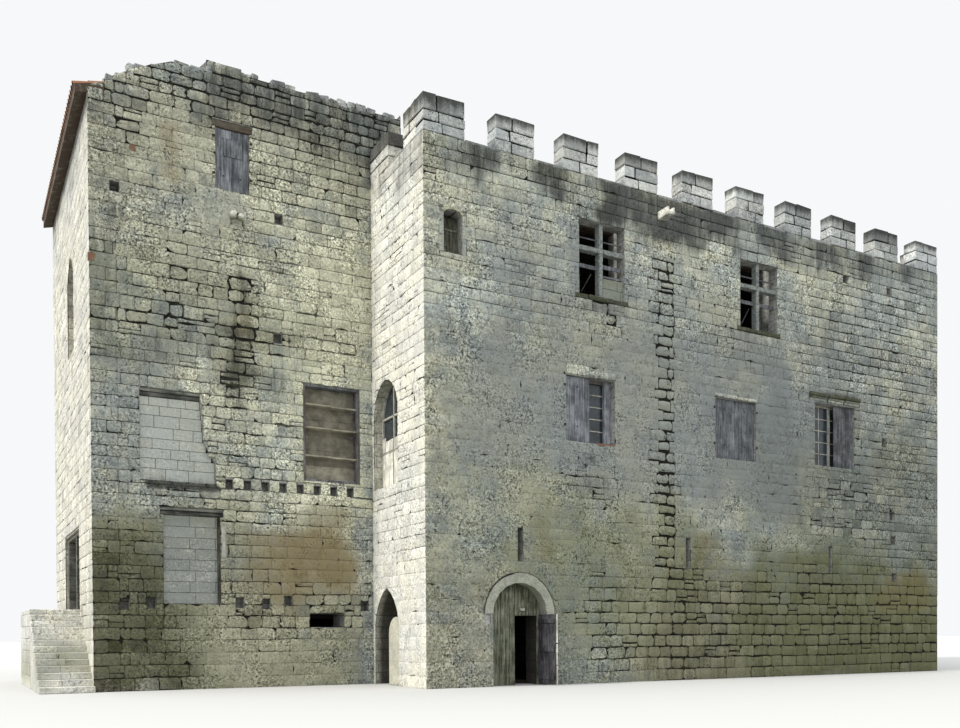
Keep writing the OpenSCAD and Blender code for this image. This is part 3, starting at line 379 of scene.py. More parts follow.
class Heap:
    """Shapes that become one joined mesh, with a tone for every point."""

    def __init__(self):
        self.points, self.tones, self.faces, self.smooth = [], [], [], []
        self.count = 0

    def add(self, points, faces, tone, place=HERE, smooth=False):
        """Faces are arrays of rows of 3 or 4 point numbers. Tone is brightness, warmth and mortar."""
        self.points.append(place.put(points))
        self.tones.append(np.broadcast_to(np.asarray(tone, float), (len(points), 3)))
        self.faces.extend(f + self.count for f in faces)
        self.smooth.extend(np.full(len(f), smooth) for f in faces)
        self.count += len(points)

    def make(self, name, slot, material, zones=None, axis=0, body="keep", replaces=()):
        """Makes the piece. Its zones run along the building axis given, 0 for X and 1 for Y."""
        zones = zones or {}
        points = np.concatenate(self.points)
        tones = np.concatenate(self.tones)
        mesh = bpy.data.meshes.new(name)
        loops = np.concatenate([f.ravel() for f in self.faces])
        sizes = np.concatenate([np.full(len(f), f.shape[1]) for f in self.faces])
        mesh.vertices.add(len(points))
        mesh.vertices.foreach_set("co", (points + SHIFT).astype(np.float32).ravel())
        mesh.loops.add(len(loops))
        mesh.loops.foreach_set("vertex_index", loops.astype(np.int32))
        mesh.polygons.add(len(sizes))
        mesh.polygons.foreach_set("loop_start", (np.cumsum(sizes) - sizes).astype(np.int32))
        mesh.polygons.foreach_set("loop_total", sizes.astype(np.int32))
        mesh.polygons.foreach_set("use_smooth", np.concatenate(self.smooth))
        mesh.update(calc_edges=True)
        a, z = points[:, axis], points[:, 2]
        stains = [amount(zones, kind, a, z) for kind in ("black", "blue", "ochre", "green")]
        colours = np.ones((len(points), 4))
        colours[:, :3] = tones
        colours[:, 0] += amount(zones, "light", a, z, True)
        colours[:, 1] += amount(zones, "warm", a, z, True)
        colours[:, 3] = 1 - amount(zones, "joint", a, z)
        for title, values in (("tone", colours), ("stain_and_shade", np.stack(stains, 1))):
            layer = mesh.attributes.new(title, "FLOAT_COLOR", "POINT")
            layer.data.foreach_set("color", values.astype(np.float32).ravel())
        mesh.materials.append(material)
        obj = bpy.data.objects.new(name, mesh)
        bpy.context.scene.collection.objects.link(obj)
        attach(obj, body)
        if replaces:
            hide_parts(*replaces)


def loft_faces(n, rings, front=True, back=False):
    """Faces of rings of n points each, then round a front centre point and a back one if asked for."""
    j = np.arange(n)
    k = (j + 1) % n
    band = np.stack([j, k, n + k, n + j], 1)
    quads = [band + r * n for r in range(rings - 1)]
    faces = [np.concatenate(quads)]
    last = (rings - 1) * n
    if front:
        faces.append(np.stack([last + j, last + k, np.full(n, rings * n)], 1))
    if back:
        faces.append(np.stack([k, j, np.full(n, rings * n + 1)], 1))
    return faces


def loft(heap, rings, tone, place=HERE, bulge=0.0, back=False, smooth=False):
    """A closed front over rings of points, which run round as seen from in front."""
    rings = [np.asarray(r, float) for r in rings]
    centre = rings[-1].mean(0) - [0, bulge, 0]
    ends = [centre[None]] + ([rings[0].mean(0)[None]] if back else [])
    faces = loft_faces(len(rings[0]), len(rings), back=back)
    heap.add(np.concatenate(rings + ends), faces, tone, place, smooth)


def box_faces():
    """Faces of a box with its edges and corners cut off, for 24 points: 3 at each corner."""
    signs = np.array([(x, y, z) for x in (-1, 1) for y in (-1, 1) for z in (-1, 1)])
    places = np.repeat(signs, 3, 0) * 0.8
    for i in range(24):
        places[i, i % 3] = signs[i // 3, i % 3]
    quads, tris = [], []

    def outward(row):
        p = places[row]
        if np.cross(p[1] - p[0], p[2] - p[1]) @ p.mean(0) < 0:
            row = row[::-1]
        return row

    def corner(*s):
        return ((s[0] > 0) * 4 + (s[1] > 0) * 2 + (s[2] > 0)) * 3

    for a in range(3):
        b, c = (a + 1) % 3, (a + 2) % 3
        for s in (-1, 1):
            row = []
            for sb, sc in ((-1, -1), (1, -1), (1, 1), (-1, 1)):
                at = [0, 0, 0]
                at[a], at[b], at[c] = s, sb, sc
                row.append(corner(*at) + a)
            quads.append(outward(row))
        for sa in (-1, 1):
            for sb in (-1, 1):
                at = [0, 0, 0]
                at[a], at[b], at[c] = sa, sb, -1
                low = corner(*at)
                at[c] = 1
                high = corner(*at)
                quads.append(outward([low + a, high + a, high + b, low + b]))
    for i in range(8):
        tris.append(outward([3 * i, 3 * i + 1, 3 * i + 2]))
    return signs, [np.array(quads), np.array(tris)]


BOX_SIGNS, BOX_FACES = box_faces()


def box(heap, lo, hi, tone=(0.5, 0.5, 0), place=HERE, cut=0.01, shake=0.0, rng=None):
    """A box with cut edges. Shake moves each corner a little."""
    lo, hi = np.array(lo, float), np.array(hi, float)
    corners = (lo + hi) / 2 + BOX_SIGNS * (hi - lo) / 2
    if shake:
        corners = corners + np.array([[rng.uniform(-shake, shake) for _ in range(3)] for _ in range(8)])
    cut = min(cut, 0.45 * (hi - lo).min())
    points = np.repeat(corners, 3, 0) - np.repeat(BOX_SIGNS, 3, 0) * cut
    for i in range(24):
        points[i, i % 3] = corners[i // 3, i % 3]
    heap.add(points, BOX_FACES, tone, place)


def ring_of(corners, inset, round_by, depth, wobble=None):
    """Three points an edge round a convex outline: near both ends and in its middle."""
    corners = np.asarray(corners, float)
    edges = np.roll(corners, -1, 0) - corners
    near = np.minimum(round_by / np.maximum(np.hypot(edges[:, 0], edges[:, 1]), 1e-4), 0.33)
    shares = np.stack([near, np.full(len(near), 0.5), 1 - near], 1)
    flat = (corners[:, None] + shares[..., None] * edges[:, None]).reshape(-1, 2)
    low, high = corners.min(0), corners.max(0)
    centre, half = (low + high) / 2, np.maximum((high - low) / 2, 1e-4)
    flat = centre + (flat - centre) * np.maximum(1 - inset / half, 0.35)
    if wobble is not None:
        flat = flat + wobble
    return np.column_stack([flat[:, 0], np.full(len(flat), depth), flat[:, 1]])


def slab(heap, corners, front, back, tone=(0.5, 0.5, 0), place=HERE, bevel=0.01):
    """A convex outline in x and z made into a slab between two depths, with a bevelled front edge."""
    rings = [
        ring_of(corners, 0.0, bevel, back),
        ring_of(corners, 0.0, bevel, front + bevel),
        ring_of(corners, bevel, bevel, front),
    ]
    loft(heap, rings, tone, place, back=True)


def clip(corners, point, normal):
    """The part of a convex outline on the side of a line that its normal points to."""
    kept = []
    sides = [(c[0] - point[0]) * normal[0] + (c[1] - point[1]) * normal[1] for c in corners]
    for i, c in enumerate(corners):
        d = corners[(i + 1) % len(corners)]
        s, t = sides[i], sides[(i + 1) % len(corners)]
        if s >= 0:
            kept.append(c)
        if (s >= 0) != (t >= 0):
            share = s / (s - t)
            kept.append((c[0] + share * (d[0] - c[0]), c[1] + share * (d[1] - c[1])))
    return kept


def area(corners):
    """The area of an outline, below 0 if it runs clockwise."""
    total = 0
    for i, c in enumerate(corners):
        d = corners[(i + 1) % len(corners)]
        total += c[0] * d[1] - d[0] * c[1]
    return total / 2


def beyond_arc(part, centre, radius, towards):
    """The part of an outline beyond the line that touches an arc in the direction of a point."""
    aim = np.array(towards) - centre
    aim = aim / np.hypot(*aim)
    return clip(part, centre + aim * radius, aim)


class Arch:
    """A round opening over its springing line."""

    def __init__(self, x, spring, radius):
        self.x, self.spring, self.radius = x, spring, radius

    def halves(self, corners):
        """The parts of an outline at the left and right of the arch's middle, with their sides."""
        parts = [(side, clip(corners, (self.x, 0), (side, 0))) for side in (-1, 1)]
        return [(side, part) for side, part in parts if len(part) > 2]

    def distances(self, part, centre):
        return [math.hypot(c[0] - centre[0], c[1] - centre[1]) for c in part]

    def cut(self, corners):
        """The convex parts of an outline that lie outside the arch."""
        xs, zs = [c[0] for c in corners], [c[1] for c in corners]
        if max(zs) <= self.spring or min(xs) > self.x + self.radius or max(xs) < self.x - self.radius:
            return [corners]
        if min(zs) > self.spring + self.radius:
            return [corners]
        parts = []
        centre = (self.x, self.spring)
        for _, part in self.halves(corners):
            far = self.distances(part, centre)
            if min(far) < self.radius:
                towards = np.mean(part, 0) if np.mean(far) > self.radius else part[int(np.argmax(far))]
                part = beyond_arc(part, centre, self.radius, towards)
            parts.append(part)
        return [p for p in parts if len(p) > 2]


class PointedArch(Arch):
    """A pointed opening whose arcs have a given share of its width as their radius."""

    def __init__(self, x, width, apex, share):
        super().__init__(x, apex - width * math.sqrt(share - 0.25), share * width)
        self.width, self.apex, self.offset = width, apex, (0.5 - share) * width

    def hole(self, sill):
        """The rectangle below the springing line."""
        return self.x - self.width / 2, self.x + self.width / 2, sill, self.spring

    def cut(self, corners):
        xs, zs = [c[0] for c in corners], [c[1] for c in corners]
        if max(zs) <= self.spring or min(zs) >= self.apex:
            return [corners]
        if min(xs) >= self.x + self.width / 2 or max(xs) <= self.x - self.width / 2:
            return [corners]
        parts = []
        for side, part in self.halves(corners):
            centre = np.array((self.x + side * self.offset, self.spring))
            far = self.distances(part, centre)
            if max(far) <= self.radius:
                continue
            if min(far) < self.radius:
                towards = np.mean(part, 0)
                if np.hypot(*(towards - centre)) < self.radius:
                    towards = part[int(np.argmax(far))]
                part = beyond_arc(part, centre, self.radius, towards)
            parts.append(part)
        return [p for p in parts if len(p) > 2]


def course_lines(anchors, height, seed):
    """Heights of the bed joints: even between the anchors, with a little play."""
    rng = random.Random(seed)
    lines = []
    for low, high in zip(anchors, anchors[1:]):
        n = max(1, round((high - low) / height))
        step = (high - low) / n
        lines += [low + i * step + (rng.uniform(-0.07, 0.07) * step if i else 0) for i in range(n)]
    return lines + [anchors[-1]]


def mortar_tones(corners, loose, gape, rng):
    """The mortar's tone at the points round a stone. Where it has fallen out it is painted dark, as the shade
    in the open joint.
    """
    tones = []
    for i in range(3 * len(corners)):
        here, after = corners[i // 3], corners[(i // 3 + 1) % len(corners)]
        is_bed = abs(after[1] - here[1]) < 0.5 * abs(after[0] - here[0])
        fallen = loose * (1.2 if is_bed else 0.45) + rng.gauss(0, 0.30 if is_bed else 0.15)
        fallen += 0.5 if rng.random() < (0.14 if is_bed else 0.04) else 0
        fallen = min(max(fallen, gape, 0.0), 1.0)
        tones.append((0.50 - 0.47 * fallen ** 0.7, 0.4, min(1, 0.05 + 1.2 * fallen)))
    return np.array(tones)


def break_corner(corners, wobble, mortar, size, rng):
    """Moves the points at both sides of one corner away from it, and paints the mortar there near black as
    the shade in the hole.
    """
    k = rng.randrange(len(corners))
    bite = min(rng.uniform(0.02, 0.07), 0.35 * size)
    here, after, before = (np.array(corners[i % len(corners)]) for i in (k, k + 1, k - 1))
    wobble[3 * k] += (after - here) / np.hypot(*(after - here)) * bite
    wobble[3 * k - 1] += (before - here) / np.hypot(*(before - here)) * bite
    # Painted shade: the mortar points in the bite turn near black.
    mortar[[3 * k, 3 * k - 1]] = (0.02, 0.4, 1)


def break_edge(corners, centre, wobble, mortar, size, rng):
    """Moves the middle point of one edge inwards, and paints the mortar there near black as the shade in the
    notch.
    """
    k = rng.randrange(len(corners))
    inwards = np.array(centre) - np.mean([corners[k], corners[(k + 1) % len(corners)]], 0)
    wobble[3 * k + 1] += inwards / np.hypot(*inwards) * min(rng.uniform(0.02, 0.05), 0.2 * size)
    # Painted shade: the mortar point in the notch turns near black.
    mortar[3 * k + 1] = (0.03, 0.4, 1)


def add_stone(heap, place, corners, zones, rng, fine):
    """One stone that stands out of the wall, with the mortar round it. Flush stones hardly show.

    Gaps, bevels and depths are in metres, and grow with how loose, worn and gaping the stone's place is.
    """
    cx = sum(c[0] for c in corners) / len(corners)
    cz = sum(c[1] for c in corners) / len(corners)
    a = place.building(cx)
    worn = float(amount(zones, "worn", a, cz))
    gape = float(amount(zones, "gape", a, cz))
    loose = 0.12 + float(amount(zones, "joint", a, cz)) - float(amount(zones, "flush", a, cz))
    loose += rng.gauss(0, 0.10) + (rng.uniform(0.1, 0.4) if rng.random() < 0.06 else 0)
    loose = min(max(loose, 0.0), 1.0)
    xs, zs = [c[0] for c in corners], [c[1] for c in corners]
    size = min(max(xs) - min(xs), max(zs) - min(zs))
    gap = (0.002 + 0.005 * loose ** 1.4 + 0.005 * worn + 0.007 * gape) * rng.uniform(0.5, 1.6)
    gap = min(gap, 0.20 * size)
    slot = min((0.007 * loose + 0.017 * gape) * rng.uniform(0.0, 2.0), 0.2 * size)
    tight = [(x, z + math.copysign(slot, cz - z)) for x, z in corners]
    bevel = min(0.003 + 0.011 * loose + 0.014 * worn, size * 0.2)
    corner = min((0.012 + 0.020 * loose + 0.035 * worn + 0.020 * gape) * rng.uniform(0.4, 1.8), 0.2 * size)
    depth = PROUD * rng.uniform(0.86, 1.0) * (1 - 0.5 * worn * rng.random())
    bed = PROUD * (0.86 - 0.78 * max(loose, gape))
    if worn > 0.3 and rng.random() < 0.12 * worn:
        depth = bed + 0.002
    bed = min(bed, depth - 0.0015)
    n = 3 * len(corners)
    rough = 0.002 + 0.006 * loose + 0.012 * worn + 0.014 * gape
    wobble = np.array([[rng.uniform(-rough, rough), rng.uniform(-rough, rough)] for _ in range(n)])
    wobble += [rng.uniform(-0.6, 0.6) * gap, rng.uniform(-0.6, 0.6) * gap]
    mortar = mortar_tones(corners, loose, gape, rng)
    if rng.random() < 0.05 + 0.22 * worn + 0.35 * gape + 0.08 * loose:
        break_corner(corners, wobble, mortar, size, rng)
    if rng.random() < 0.08 + 0.25 * worn:
        break_edge(corners, (cx, cz), wobble, mortar, size, rng)
    tilt = np.array([rng.uniform(-0.006, 0.006), 0, rng.uniform(-0.008, 0.008)])
    rings = [ring_of(corners, 0.0, 0.002, -bed), ring_of(tight, gap, corner, -bed, wobble)]
    if fine:
        rings.append(ring_of(tight, gap + bevel * 0.25, corner, -(bed + 0.75 * (depth - bed)), wobble))
    face = ring_of(tight, gap + bevel, corner, -depth, wobble)
    face[:, 1] += (face - face.mean(0)) @ tilt * (0.3 + loose)
    rings.append(face)
    tone = np.empty((n * len(rings) + 1, 3))
    spread = 0.018 + 0.045 * loose + 0.03 * worn
    tone[:] = (clamped(rng, 0.5, spread, 0.3, 0.7), clamped(rng, 0.45, 0.06 + 1.2 * spread), 0)
    tone[:n] = mortar
    tone[n:2 * n] = mortar
    loft(heap, rings, tone, place, bulge=0.003, smooth=True)


def open_cells(low, high, start, stop, turns, holes):
    """The stretches of one course between the holes, as x0, x1, bottom and top."""
    here = [h for h in holes if h[3] > low and h[2] < high]
    marks = {start, stop} | turns | {x for h in here for x in h[:2] if start < x < stop}
    marks = sorted(marks)
    cells = []
    for x0, x1 in zip(marks, marks[1:]):
        spans = [(low, high)]
        for h in here:
            if h[0] < (x0 + x1) / 2 < h[1]:
                around = [span for a, b in spans for span in ((a, min(b, h[2])), (max(a, h[3]), b))]
                spans = [(a, b) for a, b in around if b > a]
        for a, b in spans:
            if cells and cells[-1][1] == x0 and cells[-1][2:] == [a, b] and x0 not in turns:
                cells[-1][1] = x1
            else:
                cells.append([x0, x1, a, b])
    return [(x0, x1, a, b) for x0, x1, a, b in cells if x1 - x0 >= 0.05 and b - a >= 0.045]


def stone_ends(x0, x1, z, long, seam, odd, rng):
    """Where the stones of one stretch end. At the seam they end on one edge or the other in turn."""
    ends = [x0]
    while ends[-1] < x1:
        after = ends[-1] + rng.uniform(*long) * (0.6 if len(ends) == 1 else 1)
        if seam and seam[2] < z < seam[3]:
            edge = seam[0] if odd else seam[1]
            if ends[-1] < edge - 0.12 < after:
                after = edge
        ends.append(x1 if x1 - after < long[0] * 0.6 else after)
    return ends


def lay_part(heap, place, part, span, short, zones, rng, fine):
    """One stone, or two small ones on top of each other, mostly where the wall is worn."""
    x, low, high = span
    worn = float(amount(zones, "worn", place.building(x), low))
    small = rng.random() < 0.05 + 0.35 * worn
    if not (small and short and len(part) == 4):
        add_stone(heap, place, part, zones, rng, fine)
        return
    level = low + (high - low) * rng.uniform(0.35, 0.65)
    for side in (-1, 1):
        piece = clip(part, (x, level), (0, side))
        if len(piece) > 2 and area(piece) > 0.004:
            add_stone(heap, place, piece, zones, rng, fine)


def lay_courses(heap, place, start, stop, lines, zones, rng, holes=(), arches=(), corners=(None, None),
                seam=None, fine=True, long=(0.34, 0.66), limits=()):
    """A wall face of stones in courses, left open at its holes and arches.

    Corners say at each end whether long and short stones turn a corner there, and which comes first.
    """
    # The waves use two phases. Six are drawn, and every later draw depends on that.
    phases = [rng.uniform(0, 6.28) for _ in range(6)]

    def wave(i, x):
        """How far a bed joint rises above its level."""
        if i in (0, len(lines) - 1):
            return 0.0
        far = ease(min(x - start, stop - x) / 1.5)
        slow = math.sin(0.55 * x + phases[0] + 0.21 * i) + 0.6 * math.sin(1.27 * x + phases[1] + 0.9 * i)
        return 0.013 * far * slow

    for i, (low, high) in enumerate(zip(lines, lines[1:])):
        turns = set()
        if corners[0] is not None:
            turns.add(start + QUOIN[(i + corners[0]) % 2])
        if corners[1] is not None:
            turns.add(stop - QUOIN[(i + corners[1]) % 2])
        for x0, x1, a, b in open_cells(low, high, start, stop, turns, holes):
            at_left = corners[0] is not None and x0 == start
            at_right = corners[1] is not None and x1 == stop
            ends = [x0, x1] if at_left or at_right else stone_ends(x0, x1, a, long, seam, i % 2, rng)
            for x2, x3 in zip(ends, ends[1:]):
                floor = [a + (wave(i, x) if a == low else 0) for x in (x2, x3)]
                head = [b + (wave(i + 1, x) if b == high else 0) for x in (x3, x2)]
                parts = [[(x2, floor[0]), (x3, floor[1]), (x3, head[0]), (x2, head[1])]]
                for arch in arches:
                    parts = [q for p in parts for q in arch.cut(p)]
                for point, normal in limits:
                    parts = [clip(p, point, normal) for p in parts]
                for part in parts:
                    if len(part) > 2 and area(part) >= 0.006:
                        short = b - a > 0.2 and x3 - x2 < 0.55
                        lay_part(heap, place, part, (x2, a, b), short, zones, rng, fine)


# Materials

def add(tree, kind, values=None, **settings):
    """A shader node. Values are sockets to link or plain numbers to set."""
    node = tree.nodes.new("ShaderNode" + kind)
    for key, value in settings.items():
        setattr(node, key, value)
    for key, value in (values or {}).items():
        if isinstance(value, bpy.types.NodeSocket):
            tree.links.new(value, node.inputs[key])
        else:
            node.inputs[key].default_value = value
    return node


def rgb(r, g, b):
    return (r, g, b, 1.0)


def new_material(name, roughness, specular, **sockets):
    """A material with its node tree and its shader."""
    material = bpy.data.materials.new(name)
    material.use_nodes = True
    tree = material.node_tree
    shader = tree.nodes["Principled BSDF"]
    shader.inputs["Roughness"].default_value = roughness
    shader.inputs["Specular IOR Level"].default_value = specular
    for key, value in sockets.items():
        shader.inputs[key].default_value = value
    return material, tree, shader


def where(tree, scale=(1, 1, 1)):
    """The place on the object, in metres, stretched by a scale."""
    coords = add(tree, "TexCoord").outputs["Object"]
    return add(tree, "Mapping", {"Vector": coords, "Scale": scale}).outputs["Vector"]


def noise(tree, vector, scale, detail=4.0, rough=0.6):
    values = {"Vector": vector, "Scale": scale, "Detail": detail, "Roughness": rough}
    return add(tree, "TexNoise", values).outputs["Fac"]


def maths(tree, operation, a, b=0.0, clamp=False):
    return add(tree, "Math", {0: a, 1: b}, operation=operation, use_clamp=clamp).outputs[0]


def fit(tree, value, low, high, to_low=0.0, to_high=1.0, smooth=True):
    """A value's range mapped onto another, kept between its ends."""
    values = {"Value": value, "From Min": low, "From Max": high, "To Min": to_low, "To Max": to_high}
    kind = "SMOOTHSTEP" if smooth else "LINEAR"
    return add(tree, "MapRange", values, interpolation_type=kind).outputs["Result"]


def mix(tree, share, a, b, kind="MIX"):
    node = add(tree, "Mix", data_type="RGBA", blend_type=kind)
    for index, value in ((0, share), (6, a), (7, b)):
        if isinstance(value, bpy.types.NodeSocket):
            tree.links.new(value, node.inputs[index])
        else:
            node.inputs[index].default_value = value
    return node.outputs[2]


def scaled(tree, colour, factor):
    return add(tree, "VectorMath", {0: colour, "Scale": factor}, operation="SCALE").outputs[0]


def attribute(tree, name):
    """The four numbers that each point of a mesh carries under a name."""
    node = add(tree, "Attribute", attribute_name=name)
    parts = add(tree, "SeparateColor", {"Color": node.outputs["Color"]}).outputs
    return parts[0], parts[1], parts[2], node.outputs["Alpha"]


def bump(tree, shader, height, strength, distance):
    values = {"Height": height, "Strength": strength, "Distance": distance}
    tree.links.new(add(tree, "Bump", values).outputs["Normal"], shader.inputs["Normal"])


def growth_and_shade(tree, colour, amounts, spots, streaks):
    """Black growth in streaks, and the painted shade along the pale lintel stones' lower edge, then blue
    grey, ochre and green that come in softly.
    """
    black = fit(tree, maths(tree, "ADD", amounts[0], streaks), 0.55, 1.15, 0.0, 0.88)
    colour = mix(tree, black, colour, rgb(0.040, 0.042, 0.038))
    blue, ochre, green = rgb(0.205, 0.228, 0.238), rgb(0.275, 0.205, 0.105), rgb(0.125, 0.142, 0.062)
    for level, target, most in zip(amounts[1:], (blue, ochre, green), (0.85, 0.85, 0.80)):
        share = maths(tree, "MULTIPLY", level, fit(tree, spots, 0.1, 0.7, 0.35, 1.65, smooth=False))
        colour = mix(tree, fit(tree, share, 0.0, 1.0, 0.0, most), colour, target)
    return colour


def stone_material(name, cool, warm, mortar, contrast=1.0):
    """Weathered limestone with lichen and stains, and the mortar between the stones. Its pitted spots and
    cracks are painted near black, as dirt and the shade in them, and mortar with a low tone is painted near
    black, as shade where it has fallen out.
    """
    material, tree, shader = new_material(name, 0.92, 0.15)
    at = where(tree)
    bright, warmth, is_mortar, _ = attribute(tree, "tone")
    amounts = attribute(tree, "stain_and_shade")
    broad = noise(tree, at, 0.45, 4, 0.6)
    patch = noise(tree, at, 1.9, 6, 0.72)
    grain = noise(tree, at, 15.0, 5, 0.78)
    speck = noise(tree, at, 24.0, 2, 0.6)
    rough = fit(tree, noise(tree, at, 1.1, 5, 0.65), 0.42, 0.60, 0.45, 1.30)
    streak = noise(tree, where(tree, (3.2, 3.2, 0.55)), 1.6, 6, 0.7)
    tilt = maths(tree, "ADD", warmth, fit(tree, broad, 0.3, 0.7, -0.45, 0.45))
    tilt = maths(tree, "ADD", tilt, fit(tree, patch, 0.3, 0.7, -0.38, 0.38))
    colour = mix(tree, maths(tree, "ADD", tilt, 0.0, True), cool, warm)
    colour = mix(tree, is_mortar, colour, mortar)
    level = fit(tree, bright, 0.0, 1.0, 0.0, 2.0, smooth=False)
    for source, swing, share in ((patch, 0.26, 1.0), (grain, 0.66, rough), (speck, 0.36, rough)):
        spread = fit(tree, source, 0.36, 0.64, -swing * contrast, swing * contrast, smooth=False)
        factor = maths(tree, "ADD", maths(tree, "MULTIPLY", spread, share), 1.0)
        level = maths(tree, "MULTIPLY", level, factor)
    colour = scaled(tree, colour, level)
    is_stone = maths(tree, "SUBTRACT", 1.0, is_mortar)
    lichen = fit(tree, maths(tree, "MULTIPLY", patch, grain), 0.30, 0.37, 0.0, 0.6)
    lichen = maths(tree, "MULTIPLY", lichen, is_stone)
    colour = mix(tree, lichen, colour, mix(tree, 0.6, warm, rgb(0.78, 0.78, 0.72)))
    deep = maths(tree, "ADD", grain, maths(tree, "MULTIPLY", speck, 0.6))
    deep = maths(tree, "SUBTRACT", deep, maths(tree, "MULTIPLY", rough, 0.055))
    pit_shade = fit(tree, deep, 0.615, 0.545, 0.0, 0.9)
    ridge = maths(tree, "ABSOLUTE", maths(tree, "SUBTRACT", noise(tree, at, 1.7, 7, 0.72), 0.5))
    cracks = maths(tree, "MULTIPLY", fit(tree, ridge, 0.0, 0.010, 0.85, 0.0), fit(tree, patch, 0.50, 0.60))
    pit_shade = maths(tree, "MAXIMUM", pit_shade, maths(tree, "MULTIPLY", cracks, is_stone))
    pit_shade = maths(tree, "MULTIPLY", pit_shade, min(1.0, contrast))
    # Painted shade and dirt: small holes and cracks in the stone turn near black.
    colour = mix(tree, pit_shade, colour, rgb(0.045, 0.045, 0.04))
    spots = fit(tree, maths(tree, "ADD", patch, grain), 0.6, 1.4, 0.0, 0.80, smooth=False)
    streaks = fit(tree, maths(tree, "ADD", streak, grain), 0.6, 1.4, 0.0, 0.85, smooth=False)
    colour = growth_and_shade(tree, colour, amounts, spots, streaks)
    # Painted shade: mortar with a low tone, where it has fallen out or a stone's corner has broken off, turns
    # near black as the shade in the open joint.
    hollow_shade = maths(tree, "MULTIPLY", is_mortar, fit(tree, bright, 0.30, 0.08, 0.0, 0.97))
    colour = mix(tree, hollow_shade, colour, rgb(0.014, 0.013, 0.011))
    tree.links.new(colour, shader.inputs["Base Color"])
    height = maths(tree, "ADD", maths(tree, "MULTIPLY", grain, 0.8), maths(tree, "MULTIPLY", speck, 0.3))
    height = maths(tree, "SUBTRACT", height, maths(tree, "MULTIPLY", pit_shade, 0.5))
    bump(tree, shader, height, 0.9, 0.03)
    return material


def core_material(name, pale, dark, shade_box=None):
    """Dressed stone in courses, for the insides and the jambs. Inside the shade box it is painted near black,
    as the shade deep in a passage.
    """
    material, tree, shader = new_material(name, 0.93, 0.15)
    at = where(tree)
    coords = add(tree, "TexCoord").outputs["Object"]
    xyz = add(tree, "SeparateXYZ", {"Vector": coords}).outputs
    side = maths(tree, "ADD", xyz[0], xyz[1])
    flat = add(tree, "CombineXYZ", {"X": side, "Y": xyz[2], "Z": 0.0}).outputs[0]
    values = {
        "Vector": flat, "Color1": pale, "Color2": dark, "Mortar": rgb(0.10, 0.10, 0.085), "Scale": 1.0,
        "Mortar Size": 0.008, "Mortar Smooth": 0.3, "Bias": -0.2, "Brick Width": 0.52, "Row Height": 0.32,
    }
    bricks = add(tree, "TexBrick", values, offset=0.5)
    patch = noise(tree, at, 2.3, 6, 0.68)
    grain = noise(tree, at, 15.0, 6, 0.75)
    broad, fine = fit(tree, patch, 0.3, 0.7, 0.65, 1.20), fit(tree, grain, 0.36, 0.64, 0.7, 1.3)
    colour = scaled(tree, bricks.outputs["Color"], maths(tree, "MULTIPLY", broad, fine))
    if shade_box:
        inside = None
        for value, low, high in zip(xyz, shade_box[0], shade_box[1]):
            here = maths(tree, "MULTIPLY", fit(tree, value, low - 0.1, low + 0.1),
                         fit(tree, value, high - 0.1, high + 0.1, 1.0, 0.0))
            inside = here if inside is None else maths(tree, "MULTIPLY", inside, here)
        # Painted shade: the stone deep in the passage turns near black.
        colour = mix(tree, maths(tree, "MULTIPLY", inside, 0.86), colour, rgb(0.030, 0.026, 0.022))
    tree.links.new(colour, shader.inputs["Base Color"])
    height = maths(tree, "SUBTRACT", grain, maths(tree, "MULTIPLY", bricks.outputs["Fac"], 0.8))
    bump(tree, shader, height, 0.5, 0.02)
    return material


def wood_material(name, dark, light, grain_scale, pale_wear):
    """Weathered timber. The grain runs along the axis with the small scale."""
    material, tree, shader = new_material(name, 0.82, 0.2)
    bright, warmth, _, _ = attribute(tree, "tone")
    fibre = noise(tree, where(tree, tuple(0.6 * s for s in grain_scale)), 1.0, 6, 0.75)
    blot = noise(tree, where(tree), 3.1, 5, 0.65)
    fine = noise(tree, where(tree, tuple(3.3 * s for s in grain_scale)), 1.0, 3, 0.6)
    colour = mix(tree, fit(tree, fibre, 0.38, 0.62), dark, light)
    colour = scaled(tree, colour, fit(tree, bright, 0.0, 1.0, 0.20, 1.80, smooth=False))
    colour = scaled(tree, colour, fit(tree, blot, 0.35, 0.65, 0.72, 1.28))
    colour = mix(tree, fit(tree, warmth, 0.5, 1.0, 0.0, 0.5), colour, rgb(0.16, 0.105, 0.065))
    worn = fit(tree, maths(tree, "MULTIPLY", blot, fine), 0.27, 0.42, 0.0, pale_wear)
    colour = mix(tree, worn, colour, rgb(0.42, 0.42, 0.40))
    cracks = fit(tree, fine, 0.36, 0.28, 0.0, 0.6)
    colour = mix(tree, cracks, colour, rgb(0.018, 0.016, 0.014))
    tree.links.new(colour, shader.inputs["Base Color"])
    bump(tree, shader, maths(tree, "SUBTRACT", fibre, maths(tree, "MULTIPLY", cracks, 0.7)), 0.5, 0.006)
    return material


def tile_material(name):
    material, tree, shader = new_material(name, 0.85, 0.25)
    bright, warmth, under_shade, _ = attribute(tree, "tone")
    patch = noise(tree, where(tree), 5.0, 6, 0.68)
    grain = noise(tree, where(tree), 40.0, 5, 0.7)
    colour = mix(tree, warmth, rgb(0.16, 0.115, 0.085), rgb(0.36, 0.17, 0.095))
    colour = scaled(tree, colour, fit(tree, bright, 0.0, 1.0, 0.5, 1.5, smooth=False))
    colour = mix(tree, fit(tree, patch, 0.52, 0.66, 0.0, 0.6), colour, rgb(0.22, 0.22, 0.17))
    colour = mix(tree, fit(tree, grain, 0.60, 0.72, 0.0, 0.7), colour, rgb(0.05, 0.048, 0.035))
    # Painted shade: points marked as lying underneath are made darker.
    colour = scaled(tree, colour, fit(tree, under_shade, 0.0, 1.0, 1.0, 0.45))
    tree.links.new(colour, shader.inputs["Base Color"])
    bump(tree, shader, maths(tree, "ADD", patch, grain), 0.4, 0.008)
    return material


